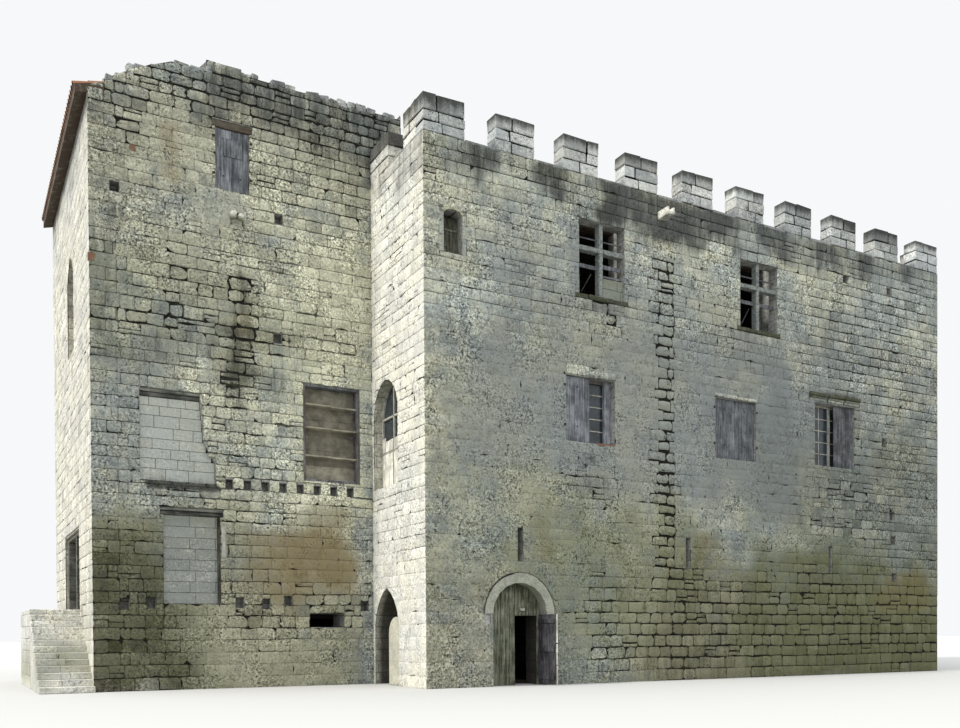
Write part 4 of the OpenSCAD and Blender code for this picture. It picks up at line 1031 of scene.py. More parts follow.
def plaster_material(name, pale, grey):
    material, tree, shader = new_material(name, 0.9, 0.15)
    patch = noise(tree, where(tree), 2.8, 7, 0.7)
    grain = noise(tree, where(tree), 33.0, 5, 0.7)
    colour = mix(tree, fit(tree, patch, 0.38, 0.62), grey, pale)
    colour = scaled(tree, colour, fit(tree, grain, 0.36, 0.64, 0.72, 1.25))
    tree.links.new(colour, shader.inputs["Base Color"])
    bump(tree, shader, maths(tree, "ADD", patch, grain), 0.35, 0.01)
    return material


def glass_material(name, tint):
    material, tree, shader = new_material(name, 0.12, 0.5)
    patch = noise(tree, where(tree), 1.7, 4, 0.6)
    dust = noise(tree, where(tree), 24.0, 4, 0.6)
    colour = mix(tree, fit(tree, patch, 0.35, 0.65), rgb(*(c * 0.5 for c in tint[:3])), tint)
    colour = mix(tree, fit(tree, dust, 0.5, 0.8, 0.0, 0.35), colour, rgb(0.20, 0.21, 0.20))
    tree.links.new(colour, shader.inputs["Base Color"])
    tree.links.new(fit(tree, dust, 0.4, 0.8, 0.10, 0.40), shader.inputs["Roughness"])
    return material


def iron_material(name):
    material, tree, shader = new_material(name, 0.7, 0.4, Metallic=0.35)
    patch = noise(tree, where(tree), 28.0, 6, 0.7)
    colour = mix(tree, fit(tree, patch, 0.4, 0.65), rgb(0.035, 0.032, 0.03), rgb(0.080, 0.048, 0.030))
    tree.links.new(colour, shader.inputs["Base Color"])
    bump(tree, shader, patch, 0.4, 0.002)
    return material


# Painted light: the same limestone comes in two copies. The shaded copy is darker, as painted shade, for the
# faces out of the sun. The sunlit copy is paler, as painted sunlight, for the faces turned to the key light.
SHADE_STONE = stone_material(
    "weathered_stone", rgb(0.325, 0.358, 0.338), rgb(0.452, 0.450, 0.345), rgb(0.250, 0.250, 0.210))
SUN_STONE = stone_material(
    "sunlit_limestone", rgb(0.62, 0.62, 0.59), rgb(0.72, 0.70, 0.61), rgb(0.40, 0.39, 0.32), 0.55)
MERLON_STONE = stone_material(
    "battlement_stone", rgb(0.45, 0.48, 0.48), rgb(0.57, 0.58, 0.55), rgb(0.12, 0.12, 0.11), 0.6)
BLOCK_STONE = stone_material(
    "concrete_blocks", rgb(0.388, 0.415, 0.388), rgb(0.400, 0.412, 0.365), rgb(0.22, 0.23, 0.21), 0.25)
# Painted shade: boxes deep in the front doorway and the pointed doorway, where the dressed stone is painted
# near black.
DOOR_PASSAGE_SHADE = (SHIFT + (DOORWAY_X - 0.3, 0.32, -1), SHIFT + (DOORWAY_X + DOORWAY_W + 0.3, 3, 2.0))
SIDE_PASSAGE_SHADE = (SHIFT + (0.10, POINTED_Y - 1.0, -1), SHIFT + (3, POINTED_Y + 1.0, 2.7))
CORE = core_material("dressed_stone", rgb(0.40, 0.40, 0.38), rgb(0.30, 0.31, 0.28), DOOR_PASSAGE_SHADE)
# Painted light: the pale dressed stone is the dressed stone made paler, as painted sunlight, for the faces
# turned to the key light.
SUNLIT_CORE = core_material("sunlit_dressed_stone", rgb(0.55, 0.54, 0.45), rgb(0.44, 0.43, 0.36), SIDE_PASSAGE_SHADE)
# Scales of the grain along X, Y and Z for upright and lying boards, shelves, painted wood and floors
UPRIGHT, LYING, SHELF, PAINTED, FLOOR = (34, 34, 2.6), (2.6, 34, 34), (1.3, 5, 5), (30, 30, 3.0), (34, 5, 34)
GREY_WOOD = wood_material("grey_boards", rgb(0.086, 0.091, 0.104), rgb(0.222, 0.236, 0.254), UPRIGHT, 0.25)
DARK_WOOD = wood_material("dark_boards", rgb(0.034, 0.035, 0.024), rgb(0.134, 0.142, 0.104), UPRIGHT, 0.20)
# Dark boards of the door leaf, made darker still as painted shade of the front wall.
SHADED_LEAF_WOOD = wood_material("shaded_leaf_boards", rgb(0.032, 0.030, 0.034), rgb(0.086, 0.085, 0.096), UPRIGHT, 0.15)
LYING_WOOD = wood_material("lying_boards", rgb(0.052, 0.054, 0.048), rgb(0.150, 0.155, 0.135), LYING, 0.25)
SHELF_WOOD = wood_material("shelf_boards", rgb(0.225, 0.213, 0.170), rgb(0.285, 0.270, 0.215), SHELF, 0.15)
# Pale paint for frames and boards; on the door's edge it is painted sunlight.
PALE_PAINT_AND_SUNLIT = wood_material("pale_paint_and_sunlit_strip", rgb(0.36, 0.35, 0.31), rgb(0.62, 0.60, 0.54), PAINTED, 0.1)
FLOOR_WOOD = wood_material("floor_boards", rgb(0.05, 0.04, 0.03), rgb(0.14, 0.11, 0.08), FLOOR, 0.1)
TILE = tile_material("roof_tiles")
PLASTER = plaster_material("lime_plaster", rgb(0.62, 0.60, 0.50), rgb(0.46, 0.45, 0.38))
RING_PLASTER = plaster_material("ring_plaster", rgb(0.416, 0.427, 0.356), rgb(0.324, 0.337, 0.281))
GLASS = glass_material("window_panes", rgb(0.045, 0.064, 0.076))
IRON = iron_material("rusty_iron")


def dress(material, *nodes):
    """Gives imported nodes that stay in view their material."""
    for name in nodes:
        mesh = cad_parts[name].data
        mesh.materials.clear()
        mesh.materials.append(material)


dress(CORE, "front_wall_left", "front_wall_over_doorway", "front_wall_right", "right_wall", "back_wall",
      "front_parapet", "right_parapet", "back_parapet", "wing_front_wall", "wing_back_wall",
      "wing_right_wall", "front_merlons", "right_merlons", "back_merlons")
dress(SUNLIT_CORE, "left_wall", "left_parapet", "left_merlons", "wing_left_wall")
dress(TILE, "main_roof_front", "main_roof_back", "main_roof_hips", "wing_roof_left", "wing_roof_right")
dress(FLOOR_WOOD, "main_floors", "wing_floors")
dress(GLASS, "window_glass", "pointed_window_glass")
dress(IRON, "door_pins", "door_straps")


# Masonry

BLOCK_LINES = course_lines((0, 3.30, 4.20, MID_SILL, MID_SILL + MID_H, 10.60, 12.78, SILL_TOP), 0.315, 3)
WING_LINES = course_lines((0, LOWER_Z, 4.65, POCKET_Z, 7.60, TOP_Z, 14.76, WING_TOP), 0.315, 5)


def hole(place, a0, a1, z0, z1):
    """A rectangle that stones leave open, in the wall place's own x."""
    x0, x1 = sorted((place.along(a0), place.along(a1)))
    return x0, x1, z0, z1


def holes_in(place, *boxes):
    return [hole(place, *box) for box in boxes]


def window_holes(place, centres, w, h, sill):
    return [hole(place, c - w / 2, c + w / 2, sill, sill + h) for c in centres]


def cross_holes(place, centres):
    """The cross windows, then their sills."""
    holes = window_holes(place, centres, CROSS_W, CROSS_H, CROSS_SILL)
    for c in centres:
        left, right = c - CROSS_W / 2 - SILL_OUT, c + CROSS_W / 2 + SILL_OUT
        holes.append(hole(place, left, right, CROSS_SILL - SILL_OUT, CROSS_SILL))
    return holes


def putlog_holes(place, putlogs):
    w, h = PUTLOG_W / 2, PUTLOG_H / 2
    return [hole(place, x - w, x + w, z - h, z + h) for x, z in putlogs]


def lay_wall(name, place, start, stop, lines, zones, rng, holes, material=SHADE_STONE, **layout):
    """One wall face of stones as one piece."""
    heap = Heap()
    lay_courses(heap, place, start, stop, lines, zones, rng, holes, **layout)
    slot = "sunlit_stone" if material is SUN_STONE else "wall_stone"
    heap.make(name, slot, material, zones, place.axis)


def front_face():
    place = on_front(0)
    rng = random.Random(11)
    holes = cross_holes(place, CROSS_X)
    holes += window_holes(place, MID_X, MID_W, MID_H, MID_SILL)
    holes += window_holes(place, (THIRD_X,), THIRD_W, THIRD_H, THIRD_SILL)
    holes += window_holes(place, SLIT_X, SLIT_W, SLIT_H, SLIT_Z)
    holes += window_holes(place, (SMALL_X,), SMALL_W + 0.26, SMALL_H + 0.05, SMALL_Z - 0.04)
    holes += window_holes(place, (SPOUT_X,), SPOUT_W, SPOUT_H, SPOUT_Z)
    holes += holes_in(place, (THIRD_X - DRIP_HALF, THIRD_X + DRIP_HALF, DRIP_Z, DRIP_TOP),
                      (DOORWAY_X, DOORWAY_X + DOORWAY_W, 0, SPRING_Z))
    holes += putlog_holes(place, BLOCK_PUTLOGS)
    arches = [Arch(DOORWAY_MID, SPRING_Z, DOORWAY_R + RING_T)]
    lay_wall("front_stones", place, -OUT, FRONT_LEN + OUT, BLOCK_LINES, FRONT_ZONES, rng, holes,
             arches=arches, corners=(0, 1), seam=SEAM)


def return_face():
    place = on_return(WING_Y)
    rng = random.Random(12)
    middle = place.along(POINTED_Y)
    window = PointedArch(middle, POINTED_W, POINTED_SILL + POINTED_H, POINTED_ROUND)
    passage = PointedArch(middle, POINTED_W, POINTED_DOOR_H, DOOR_ROUND)
    holes = [window.hole(POINTED_SILL), passage.hole(0)]
    lay_wall("return_stones", place, PROUD, WING_Y + OUT, BLOCK_LINES, RETURN_ZONES, rng, holes,
             SUN_STONE, arches=[window, passage], corners=(None, 1), long=(0.32, 0.58))


def flare_at(share):
    """How far the upper blocked window runs on past its right jamb, at a share of its height."""
    if share > 0.5:
        return UPPER_FLARE / 4 * (1 - share) * 2
    if share > 0.25:
        return UPPER_FLARE * (0.25 + 0.75 * (0.5 - share) / 0.25)
    return UPPER_FLARE


def wing_front_face():
    place = on_wing_front(-WING_W)
    rng = random.Random(13)
    top_head, lower_head = TOP_Z + TOP_H, LOWER_Z + LOWER_H
    corbel_x, corbel_z = TOP_MID + CORBEL_SHIFT, TOP_Z - CORBEL_DROP
    holes = holes_in(
        place,
        (0, WING_T + 1, 0, HEAD_Z),
        (0, PARAPET_T + 0.03, HEAD_Z, MERLON_TOP),
        (TOP_X, TOP_X + TOP_W, TOP_Z, top_head),
        (TOP_X - LINTEL_OUT, TOP_X + TOP_W + LINTEL_OUT, top_head, top_head + LINTEL_H),
        (LOWER_X, LOWER_X + LOWER_W, LOWER_Z, lower_head),
        (LOWER_X - LINTEL_OUT, LOWER_X + LOWER_W + LINTEL_OUT, lower_head, lower_head + LINTEL_H),
        (UPPER_X, UPPER_X + UPPER_W, UPPER_Z, UPPER_Z + UPPER_H + LINTEL_H),
        (NICHE_X, NICHE_X + NICHE_W, NICHE_Z, NICHE_Z + NICHE_H),
        (VENT_X, VENT_X + VENT_W, VENT_Z, VENT_Z + VENT_H),
        (corbel_x - CORBEL_W / 2, corbel_x + CORBEL_W / 2, corbel_z, corbel_z + CORBEL_W),
        (-WING_W, BROKEN_TOP[0][0], CORNER_TOP, WING_TOP),
        (BROKEN_TOP[3][0], STEP_X, BROKEN_TOP[3][1], WING_TOP),
        (STEP_END, WING_T + 1, LOW_TOP, WING_TOP),
    )
    steps, jamb = 6, UPPER_X + UPPER_W
    for i in range(steps):
        z = UPPER_Z + UPPER_H * i / steps
        holes.append(hole(place, jamb, jamb + flare_at((i + 0.5) / steps), z, z + UPPER_H / steps))
    for i in range(POCKETS):
        x = POCKET_X + i * POCKET_PITCH
        holes.append(hole(place, x, x + POCKET_W, POCKET_Z, POCKET_Z + POCKET_H))
    holes += putlog_holes(place, WING_PUTLOGS)
    limits = [((place.along(xa), za), (zb - za, xa - xb))
              for (xa, za), (xb, zb) in zip(BROKEN_TOP, BROKEN_TOP[1:4])]
    lay_wall("wing_front_stones", place, -OUT, WING_W + WING_T, WING_LINES, WING_ZONES, rng, holes,
             corners=(0, None), limits=limits, long=(0.30, 0.60))


def broken_top_stones():
    """Loose rubble and blocks along the wing's broken top, and the core between its faces."""
    heap = Heap()
    rng = random.Random(18)
    line = BROKEN_TOP + (
        (STEP_X, BROKEN_TOP[-1][1]), (STEP_X + 0.04, WING_TOP - 0.12), (STEP_END, LOW_TOP), (WING_T, LOW_TOP),
    )
    xs, zs = [q[0] for q in line], [q[1] for q in line]
    x = xs[0] + 0.02
    while x < WING_T - 0.15:
        after = min(x + rng.uniform(0.16, 0.42), WING_T)
        middle = (x + after) / 2
        top = min(np.interp(middle, xs, zs), np.interp(x, xs, zs) + 0.06)
        at_slope = middle < BROKEN_TOP[3][0]
        y = WING_Y - 0.022
        while y < WING_Y + WING_T:
            deep = rng.uniform(0.22, 0.40)
            rise = rng.uniform(0.05, 0.20 if at_slope else 0.15)
            high = min(top + rise, WING_TOP - rng.uniform(0.004, 0.05))
            if rng.random() < 0.86 and high > top + 0.02:
                tone = (clamped(rng, 0.42, 0.09, 0.2, 0.7), rng.random(), 0)
                lo = (x + 0.008, y + rng.uniform(0, 0.02), top - (0.16 if at_slope else 0.10))
                hi = (after - 0.008, min(y + deep, WING_Y + WING_T) - 0.01, high)
                box(heap, lo, hi, tone, HERE, 0.025, 0.022, rng)
            y += deep
        x = after
    heap.make("broken_top_rubble", "wall_stone", MERLON_STONE, {"black": ((0.35, -8, 1, 14.6, 16.5, 0.5),)})


def wing_under(x):
    """Underside of the wing's roof above a place between its two eaves."""
    return EAVE_Z + (RIDGE_X + WING_W) * WING_SLOPE - abs(x - RIDGE_X) * WING_SLOPE


def left_face():
    place = on_wing_left(BLOCK_D)
    rng = random.Random(14)
    arch = PointedArch(place.along(TALL_Y), TALL_W, TALL_Z + TALL_H, POINTED_ROUND)
    side_doorway = (SIDE_DOOR_Y, SIDE_DOOR_Y + SIDE_DOOR_W, LANDING_Z, LANDING_Z + SIDE_DOOR_H)
    holes = [arch.hole(TALL_Z), hole(place, *side_doorway)]
    lines = [z for z in WING_LINES if z < EAVE_Z - 0.2] + [EAVE_Z]
    lay_wall("wing_left_stones", place, -OUT, BLOCK_D - WING_Y + OUT, lines, LEFT_ZONES, rng, holes,
             SUN_STONE, arches=[arch], corners=(0, 1))


def right_face():
    place = on_right(0)
    rng = random.Random(15)
    holes = cross_holes(place, SIDE_Y)
    holes += window_holes(place, SIDE_Y, MID_W, MID_H, MID_SILL)
    holes += window_holes(place, (BLOCK_D / 2,), SLIT_W, SLIT_H, SLIT_Z)
    lay_wall("right_stones", place, -OUT, BLOCK_D + OUT, BLOCK_LINES, PLAIN_ZONES, rng, holes,
             corners=(0, 1), fine=False)


def back_faces():
    """The back of the block and the wing's back under its gable."""
    rng = random.Random(16)
    place = on_back(FRONT_LEN)
    holes = cross_holes(place, CROSS_X)
    holes += window_holes(place, MID_X + (THIRD_X,), MID_W, MID_H, MID_SILL)
    holes += window_holes(place, SLIT_X[1:], SLIT_W, SLIT_H, SLIT_Z)
    lay_wall("back_stones", place, -OUT, FRONT_LEN - WING_T, BLOCK_LINES, PLAIN_ZONES, rng, holes,
             corners=(0, None), fine=False)
    place = on_back(WING_T)
    holes = window_holes(place, (RIDGE_X,), TOP_W, TOP_H, TOP_Z)
    left, right = RIDGE_X - TOP_W / 2 - LINTEL_OUT, RIDGE_X + TOP_W / 2 + LINTEL_OUT
    holes.append(hole(place, left, right, TOP_Z + TOP_H, TOP_Z + TOP_H + LINTEL_H))
    holes += window_holes(place, (RIDGE_X,), MID_W, MID_H, MID_SILL)
    apex = (place.along(RIDGE_X), wing_under(RIDGE_X))
    limits = [(apex, (WING_SLOPE, -1)), (apex, (-WING_SLOPE, -1))]
    lay_wall("wing_back_stones", place, 0, WING_W + WING_T + OUT, WING_LINES, PLAIN_ZONES, rng, holes,
             corners=(None, 1), fine=False, limits=limits)


def inner_right_face():
    """The wing's wall above the block's roof."""
    place = Place((WING_T, WING_Y, 0), 90)
    rng = random.Random(17)
    lines = course_lines((HEAD_Z, wing_under(WING_T), WING_TOP), 0.31, 9)
    holes = [hole(place, WING_Y + WING_T, BLOCK_D, wing_under(WING_T), WING_TOP)]
    zones = {"black": ((0.4, 3, 13, 14, 17, 1.0),), "joint": ((0.4, 3, 13, 12, 17, 1.0),)}
    lay_wall("wing_right_stones", place, 0, BLOCK_D - WING_Y, lines, zones, rng, holes, fine=False)


def merlon_rects():
    """Each merlon's plan as x0, y0, x1, y1, wall by wall."""
    pitch = (FRONT_LEN - MERLON_W) / (MERLON_COUNT - 1)
    side = (BLOCK_D - MERLON_W) / (SIDE_MERLON_COUNT - 1)
    t = PARAPET_T
    front = [(i * pitch, 0, i * pitch + MERLON_W, t) for i in range(MERLON_COUNT)]
    left = [(0, t, t, LEFT_GAP[0]), (0, LEFT_GAP[1], t, WING_Y)]
    right = []
    for i in range(SIDE_MERLON_COUNT):
        y0, y1 = max(i * side, t), min(i * side + MERLON_W, BLOCK_D - t)
        right.append((FRONT_LEN - t, y0, FRONT_LEN, y1))
    back = [(i * pitch, BLOCK_D - t, i * pitch + MERLON_W, BLOCK_D) for i in range(1, MERLON_COUNT)]
    return front, left, right, back


def merlon_stones(heap, rect, rng):
    """Courses of squared blocks through the wall's thickness, with open joints, over a core painted near
    black as the shade in them.
    """
    x0, y0, x1, y1 = rect
    out, gap = 0.018, 0.013
    first = SILL_TOP + rng.uniform(0.26, 0.32)
    levels = (SILL_TOP, first, first + rng.uniform(0.27, 0.33), MERLON_TOP + 0.02)
    along_x = x1 - x0 > y1 - y0
    length = x1 - x0 if along_x else y1 - y0
    for i, (low, high) in enumerate(zip(levels, levels[1:])):
        split = rng.uniform(0.30, 0.70) * length
        for s, e in ((0, split), (split, length)):
            dark = 0.10 if i == 2 else 0.0
            tone = (clamped(rng, 0.52 - dark, 0.09, 0.25, 0.75), rng.random(), 0)
            left, right = (gap if s else -out), (-gap if e < length else out)
            if along_x:
                lo, hi = (x0 + s + left, y0 - out, low + 0.012), (x0 + e + right, y1 + out, high - 0.010)
            else:
                lo, hi = (x0 - out, y0 + s + left, low + 0.012), (x1 + out, y0 + e + right, high - 0.010)
            box(heap, lo, hi, tone, HERE, 0.018, 0.014, rng)
    # Painted shade: the core behind the blocks is near black where it shows in the joints.
    box(heap, (x0, y0, SILL_TOP), (x1, y1, MERLON_TOP - 0.02), (0.02, 0.4, 1), HERE, 0.004)


def crenel_slabs(heap, rects, along_x, rng):
    """Coping slabs on the low wall between two merlons."""
    z = SILL_TOP - 0.05
    for a, b in zip(rects, rects[1:]):
        if along_x:
            lo, hi = (a[2] + 0.02, a[1] - 0.030, z), (b[0] - 0.02, a[3] + 0.035, SILL_TOP + 0.030)
        else:
            lo, hi = (a[0] - 0.035, a[3] + 0.02, z), (a[2] + 0.035, b[1] - 0.02, SILL_TOP + 0.035)
        box(heap, lo, hi, (rng.uniform(0.2, 0.4), 0.4, 0), HERE, 0.012, 0.010, rng)


def battlements():
    rng = random.Random(31)
    zones = {"black": ((0.8, -9, 21, 14.76, 15.4, 0.2), (0.25, -9, 21, 13.8, 14.1, 0.2))}
    front, left, right, back = merlon_rects()
    for name, rects, along_x, material in (
        ("front", front, True, MERLON_STONE), ("left", left, False, SUN_STONE),
        ("right", right, False, MERLON_STONE), ("back", back, True, MERLON_STONE),
    ):
        heap = Heap()
        for rect in rects:
            merlon_stones(heap, rect, rng)
        crenel_slabs(heap, rects, along_x, rng)
        heap.make(name + "_merlon_stones", "merlon_stone", material, zones)


# Roofs

def tile_points(low_r, high_r, length, lift, sides=5):
    """A half round tile from its low end to its high end, with the thickness of its low rim."""
    turn = np.linspace(0, math.pi, sides + 1)
    rows = []
    for r, s, h in ((low_r, 0, lift), (high_r, length, 0.0), (low_r - 0.016, 0, lift)):
        rows.append(np.column_stack([-r * np.cos(turn), np.full(sides + 1, s), r * np.sin(turn) + h]))
    n = sides + 1
    j = np.arange(sides)
    shell = np.stack([j, j + 1, n + j + 1, n + j], 1)
    rim = np.stack([2 * n + j, 2 * n + j + 1, j + 1, j], 1)
    return np.concatenate(rows), [shell[:, ::-1], rim[:, ::-1]]


def tile_slope(heap, origin, along, plan_up, pitch, width, run, rng, hipped=False):
    """Rows of half round tiles up one slope. Along and plan_up are directions in plan."""
    c, s = math.cos(math.radians(pitch)), math.sin(math.radians(pitch))
    across, up = (*along, 0), (plan_up[0] * c, plan_up[1] * c, s)
    axes = np.array([across, up, np.cross(across, up)])
    spacing, shown = 0.21, 0.34
    slope = run / c
    points, faces = tile_points(0.093, 0.083, 0.40, 0.012)
    columns = int(width / spacing)
    for i in range(columns):
        u = (i + 0.5) * width / columns
        for k in range(int(slope / shown) + 1):
            low = k * shown + (0.0 if k else -0.03)
            past_hip = hipped and (low + 0.2) * c >= min(u, width - u)
            if past_hip or low + 0.30 > slope:
                continue
            spin = rng.uniform(-0.008, 0.008)
            here = points.copy()
            here[:, 0] += u + spin * here[:, 1] + rng.uniform(-0.002, 0.002)
            here[:, 1] += low
            tone = (clamped(rng, 0.5, 0.16, 0.05), clamped(rng, 0.45, 0.25), 0)
            heap.add(here @ axes + np.array(origin), faces, tone)


def ridge_row(heap, a, b, rng):
    """Larger tiles along a ridge or hip."""
    a, b = np.array(a, float), np.array(b, float)
    length = np.linalg.norm(b - a)
    up = (b - a) / length
    side = np.cross(up, (0, 0, 1))
    side = side / np.linalg.norm(side)
    axes = np.array([side, up, np.cross(side, up)])
    tile = 0.42
    count = max(1, int(length / 0.36))
    points, faces = tile_points(0.12, 0.105, tile, 0.02)
    for k in range(count):
        here = points.copy()
        here[:, 1] += k * (length - tile) / max(count - 1, 1)
        tone = (clamped(rng, 0.5, 0.16, 0.05), clamped(rng, 0.4, 0.2), 0)
        heap.add(here @ axes + a, faces, tone)


def main_roof(rng):
    heap = Heap()
    x0, x1, y0, y1 = WING_T, FRONT_LEN - WING_T, WING_T, BLOCK_D - WING_T
    wide, deep = x1 - x0, y1 - y0
    run = (y1 - y0) / 2
    z = HEAD_Z + ROOF_T
    top = z + run * math.tan(math.radians(MAIN_PITCH))
    for corner, along, up, width in (
        ((x0, y0), (1, 0), (0, 1), wide), ((x1, y1), (-1, 0), (0, -1), wide),
        ((x0, y1), (0, -1), (1, 0), deep), ((x1, y0), (0, 1), (-1, 0), deep),
    ):
        tile_slope(heap, (*corner, z), along, up, MAIN_PITCH, width, run, rng, hipped=True)
    ridge_row(heap, (x0 + run, y0 + run, top), (x1 - run, y0 + run, top), rng)
    for cx, rx in ((x0, x0 + run), (x1, x1 - run)):
        for cy in (y0, y1):
            ridge_row(heap, (cx, cy, z), (rx, y0 + run, top), rng)
    heap.make("main_roof_tiles", "roof_tile", TILE)


def wing_roof(rng):
    """Both slopes behind the front wall, and a short row of tiles over the wall's left end."""
    heap = Heap()
    left, right = -WING_W - EAVE_OUT, WING_T + EAVE_OUT / 2
    front = WING_Y + WING_T
    for x, y, along, up, width, run in (
        (left, BLOCK_D, (0, -1), (1, 0), BLOCK_D - front, RIDGE_X - left),
        (left, front, (0, -1), (1, 0), WING_T + 0.02, 0.70),
        (right, front, (0, 1), (-1, 0), BLOCK_D - front, right - RIDGE_X),
    ):
        tile_slope(heap, (x, y, wing_under(x) + ROOF_T), along, up, WING_PITCH, width, run, rng)
    top = wing_under(RIDGE_X) + ROOF_T
    ridge_row(heap, (RIDGE_X, BLOCK_D, top), (RIDGE_X, front, top), rng)
    heap.make("wing_roof_tiles", "roof_tile", TILE)


def roofs():
    rng = random.Random(41)
    main_roof(rng)
    wing_roof(rng)


# Windows and timber

def rect(x0, x1, z0, z1):
    return [(x0, z0), (x1, z0), (x1, z1), (x0, z1)]


def shares(start, length, n):
    """The two ends of each of n equal parts of a length."""
    return [(start + length * i / n, start + length * (i + 1) / n) for i in range(n)]


def cross_windows():
    """Stone mullions and transoms, worn sills, and the wooden bars inside the lights."""
    bars, sills, rails = Heap(), Heap(), Heap()
    rng = random.Random(51)
    places = [on_front(x, CROSS_SILL) for x in CROSS_X] + [on_right(y, CROSS_SILL) for y in SIDE_Y]
    places += [on_back(x, CROSS_SILL) for x in CROSS_X]
    bar, transom, front, back = 0.13, 1.23, 0.03, 0.23
    half, inner, end = CROSS_W / 2, bar / 2, CROSS_W / 2 + SILL_OUT
    for number, place in enumerate(places):
        tone = (rng.uniform(0.40, 0.47), rng.uniform(0.3, 0.6), 0)
        for z0, z1 in ((0, transom), (transom + bar, CROSS_H)):
            slab(bars, rect(-inner, inner, z0, z1), front, back, tone, place, bevel=0.012)
        for x0, x1 in ((-half, -inner), (-inner, inner), (inner, half)):
            slab(bars, rect(x0, x1, transom, transom + bar), front, back, tone, place, bevel=0.012)
        cuts = [-end, rng.uniform(-0.5, -0.25), rng.uniform(-0.1, 0.15), rng.uniform(0.35, 0.5), end]
        for x0, x1 in zip(cuts, cuts[1:]):
            tone = (rng.uniform(0.12, 0.30), rng.uniform(0.4, 0.9), 0)
            out = rng.uniform(0.030, 0.056)
            box(sills, (x0 + 0.004, -out, -0.125), (x1 - 0.004, 0.28, -0.004), tone, place, 0.02, 0.012, rng)
        for side in (-1, 1):
            x0, x1 = (-half, -inner) if side < 0 else (inner, half)
            z = transom + bar + 0.23
            box(rails, (x0, 0.13, z), (x1, 0.16, z + 0.036), (0.30, 0.1, 0), place, 0.005, 0.003, rng)
            z = 0.78 if side < 0 or number else 0.86
            box(rails, (x0, 0.13, z), (x1, 0.16, z + 0.11), (0.42, 0.5, 0), place, 0.005, 0.003, rng)
        lean = rect(-0.009, 0.009, -0.27, 0.27)
        slanted = [(-CROSS_W / 4 - 0.02 + x + 0.62 * z, 0.40 + z) for x, z in lean]
        slab(rails, slanted, 0.165, 0.185, (0.16, 0.2, 0), place, bevel=0.004)
    box(rails, (inner, 0.12, 0.62), (half, 0.15, 0.67), (0.50, 0.1, 0), places[0], 0.005, 0.003, rng)
    bars.make("cross_window_stones", "arch_stone", SHADE_STONE, {"blue": ((0.45, -9, 21, 10, 14, 0.5),)},
              replaces=("cross_window_bars",))
    moss = {"green": ((0.35, -9, 21, 10.4, 10.9, 0.1),), "black": ((0.62, -9, 21, 10.4, 10.9, 0.1),)}
    sills.make("mossy_sills", "arch_stone", SHADE_STONE, moss, replaces=("window_sills",))
    rails.make("window_rails", "grey_wood", GREY_WOOD)


def small_window():
    """Dressed jambs and arch stones round the small window, with a dark board set back in it."""
    surround, boards = Heap(), Heap()
    rng = random.Random(63)
    place = on_front(SMALL_X, SMALL_Z)
    half, spring, frame_w, out = SMALL_W / 2, SMALL_H - SMALL_RISE, 0.13, 0.034
    levels = (0, 0.42, 0.74, spring)
    for side in (-1, 1):
        for low, high in zip(levels, levels[1:]):
            x0, x1 = sorted((side * half, side * (half + frame_w + rng.uniform(-0.02, 0.03))))
            tone = (rng.uniform(0.54, 0.60), rng.uniform(0.2, 0.5), 0)
            box(surround, (x0, -out, low + 0.003), (x1, 0.04, high - 0.003), tone, place, 0.006, 0.002, rng)
    sill = (-half - 0.10, -out, -0.10), (half + 0.16, 0.04, -0.003)
    box(surround, *sill, (0.62, 0.4, 0), place, 0.008, 0.003, rng)
    radius = (half ** 2 + SMALL_RISE ** 2) / (2 * SMALL_RISE)
    centre = SMALL_H - radius
    reach = math.asin(half / radius)
    outer = radius + 0.11
    for a0, a1 in shares(-reach, 2 * reach, 3):
        turns = ((radius, a0), (radius, (a0 + a1) / 2), (radius, a1), (outer, a1), (outer, a0))
        corners = [(r * math.sin(a), centre + r * math.cos(a)) for r, a in turns]
        slab(surround, corners[::-1], -out, 0.04, (0.60, 0.75, 0), place, bevel=0.006)
    zones = {"blue": ((0.25, 0, 2, 10.8, 11.9, 0.3),), "green": ((0.25, 0, 2, 12.0, 12.6, 0.2),)}
    surround.make("small_window_frame", "arch_stone", SHADE_STONE, zones)
    edges = (-half + 0.002, -0.09, 0.08, half - 0.002)
    for x0, x1 in zip(edges, edges[1:]):
        tone = (0.42 + rng.uniform(-0.05, 0.05), 0.6, 0)
        box(boards, (x0 + 0.002, 0.26, 0.01), (x1 - 0.002, 0.285, spring), tone, place, 0.004, 0.002, rng)
    x1 = half - 0.004
    box(boards, (-x1, 0.235, 0.66), (x1, 0.26, 0.71), (0.95, 0.3, 0), place, 0.005, 0.002, rng)
    x1 = half - 0.01
    leaning = [(-x1, 0.18), (x1, 0.03), (x1, 0.085), (-x1, 0.235)]
    slab(boards, leaning, 0.235, 0.258, (0.95, 0.2, 0), place, bevel=0.004)
    boards.make("small_window_boards", "dark_wood", DARK_WOOD)


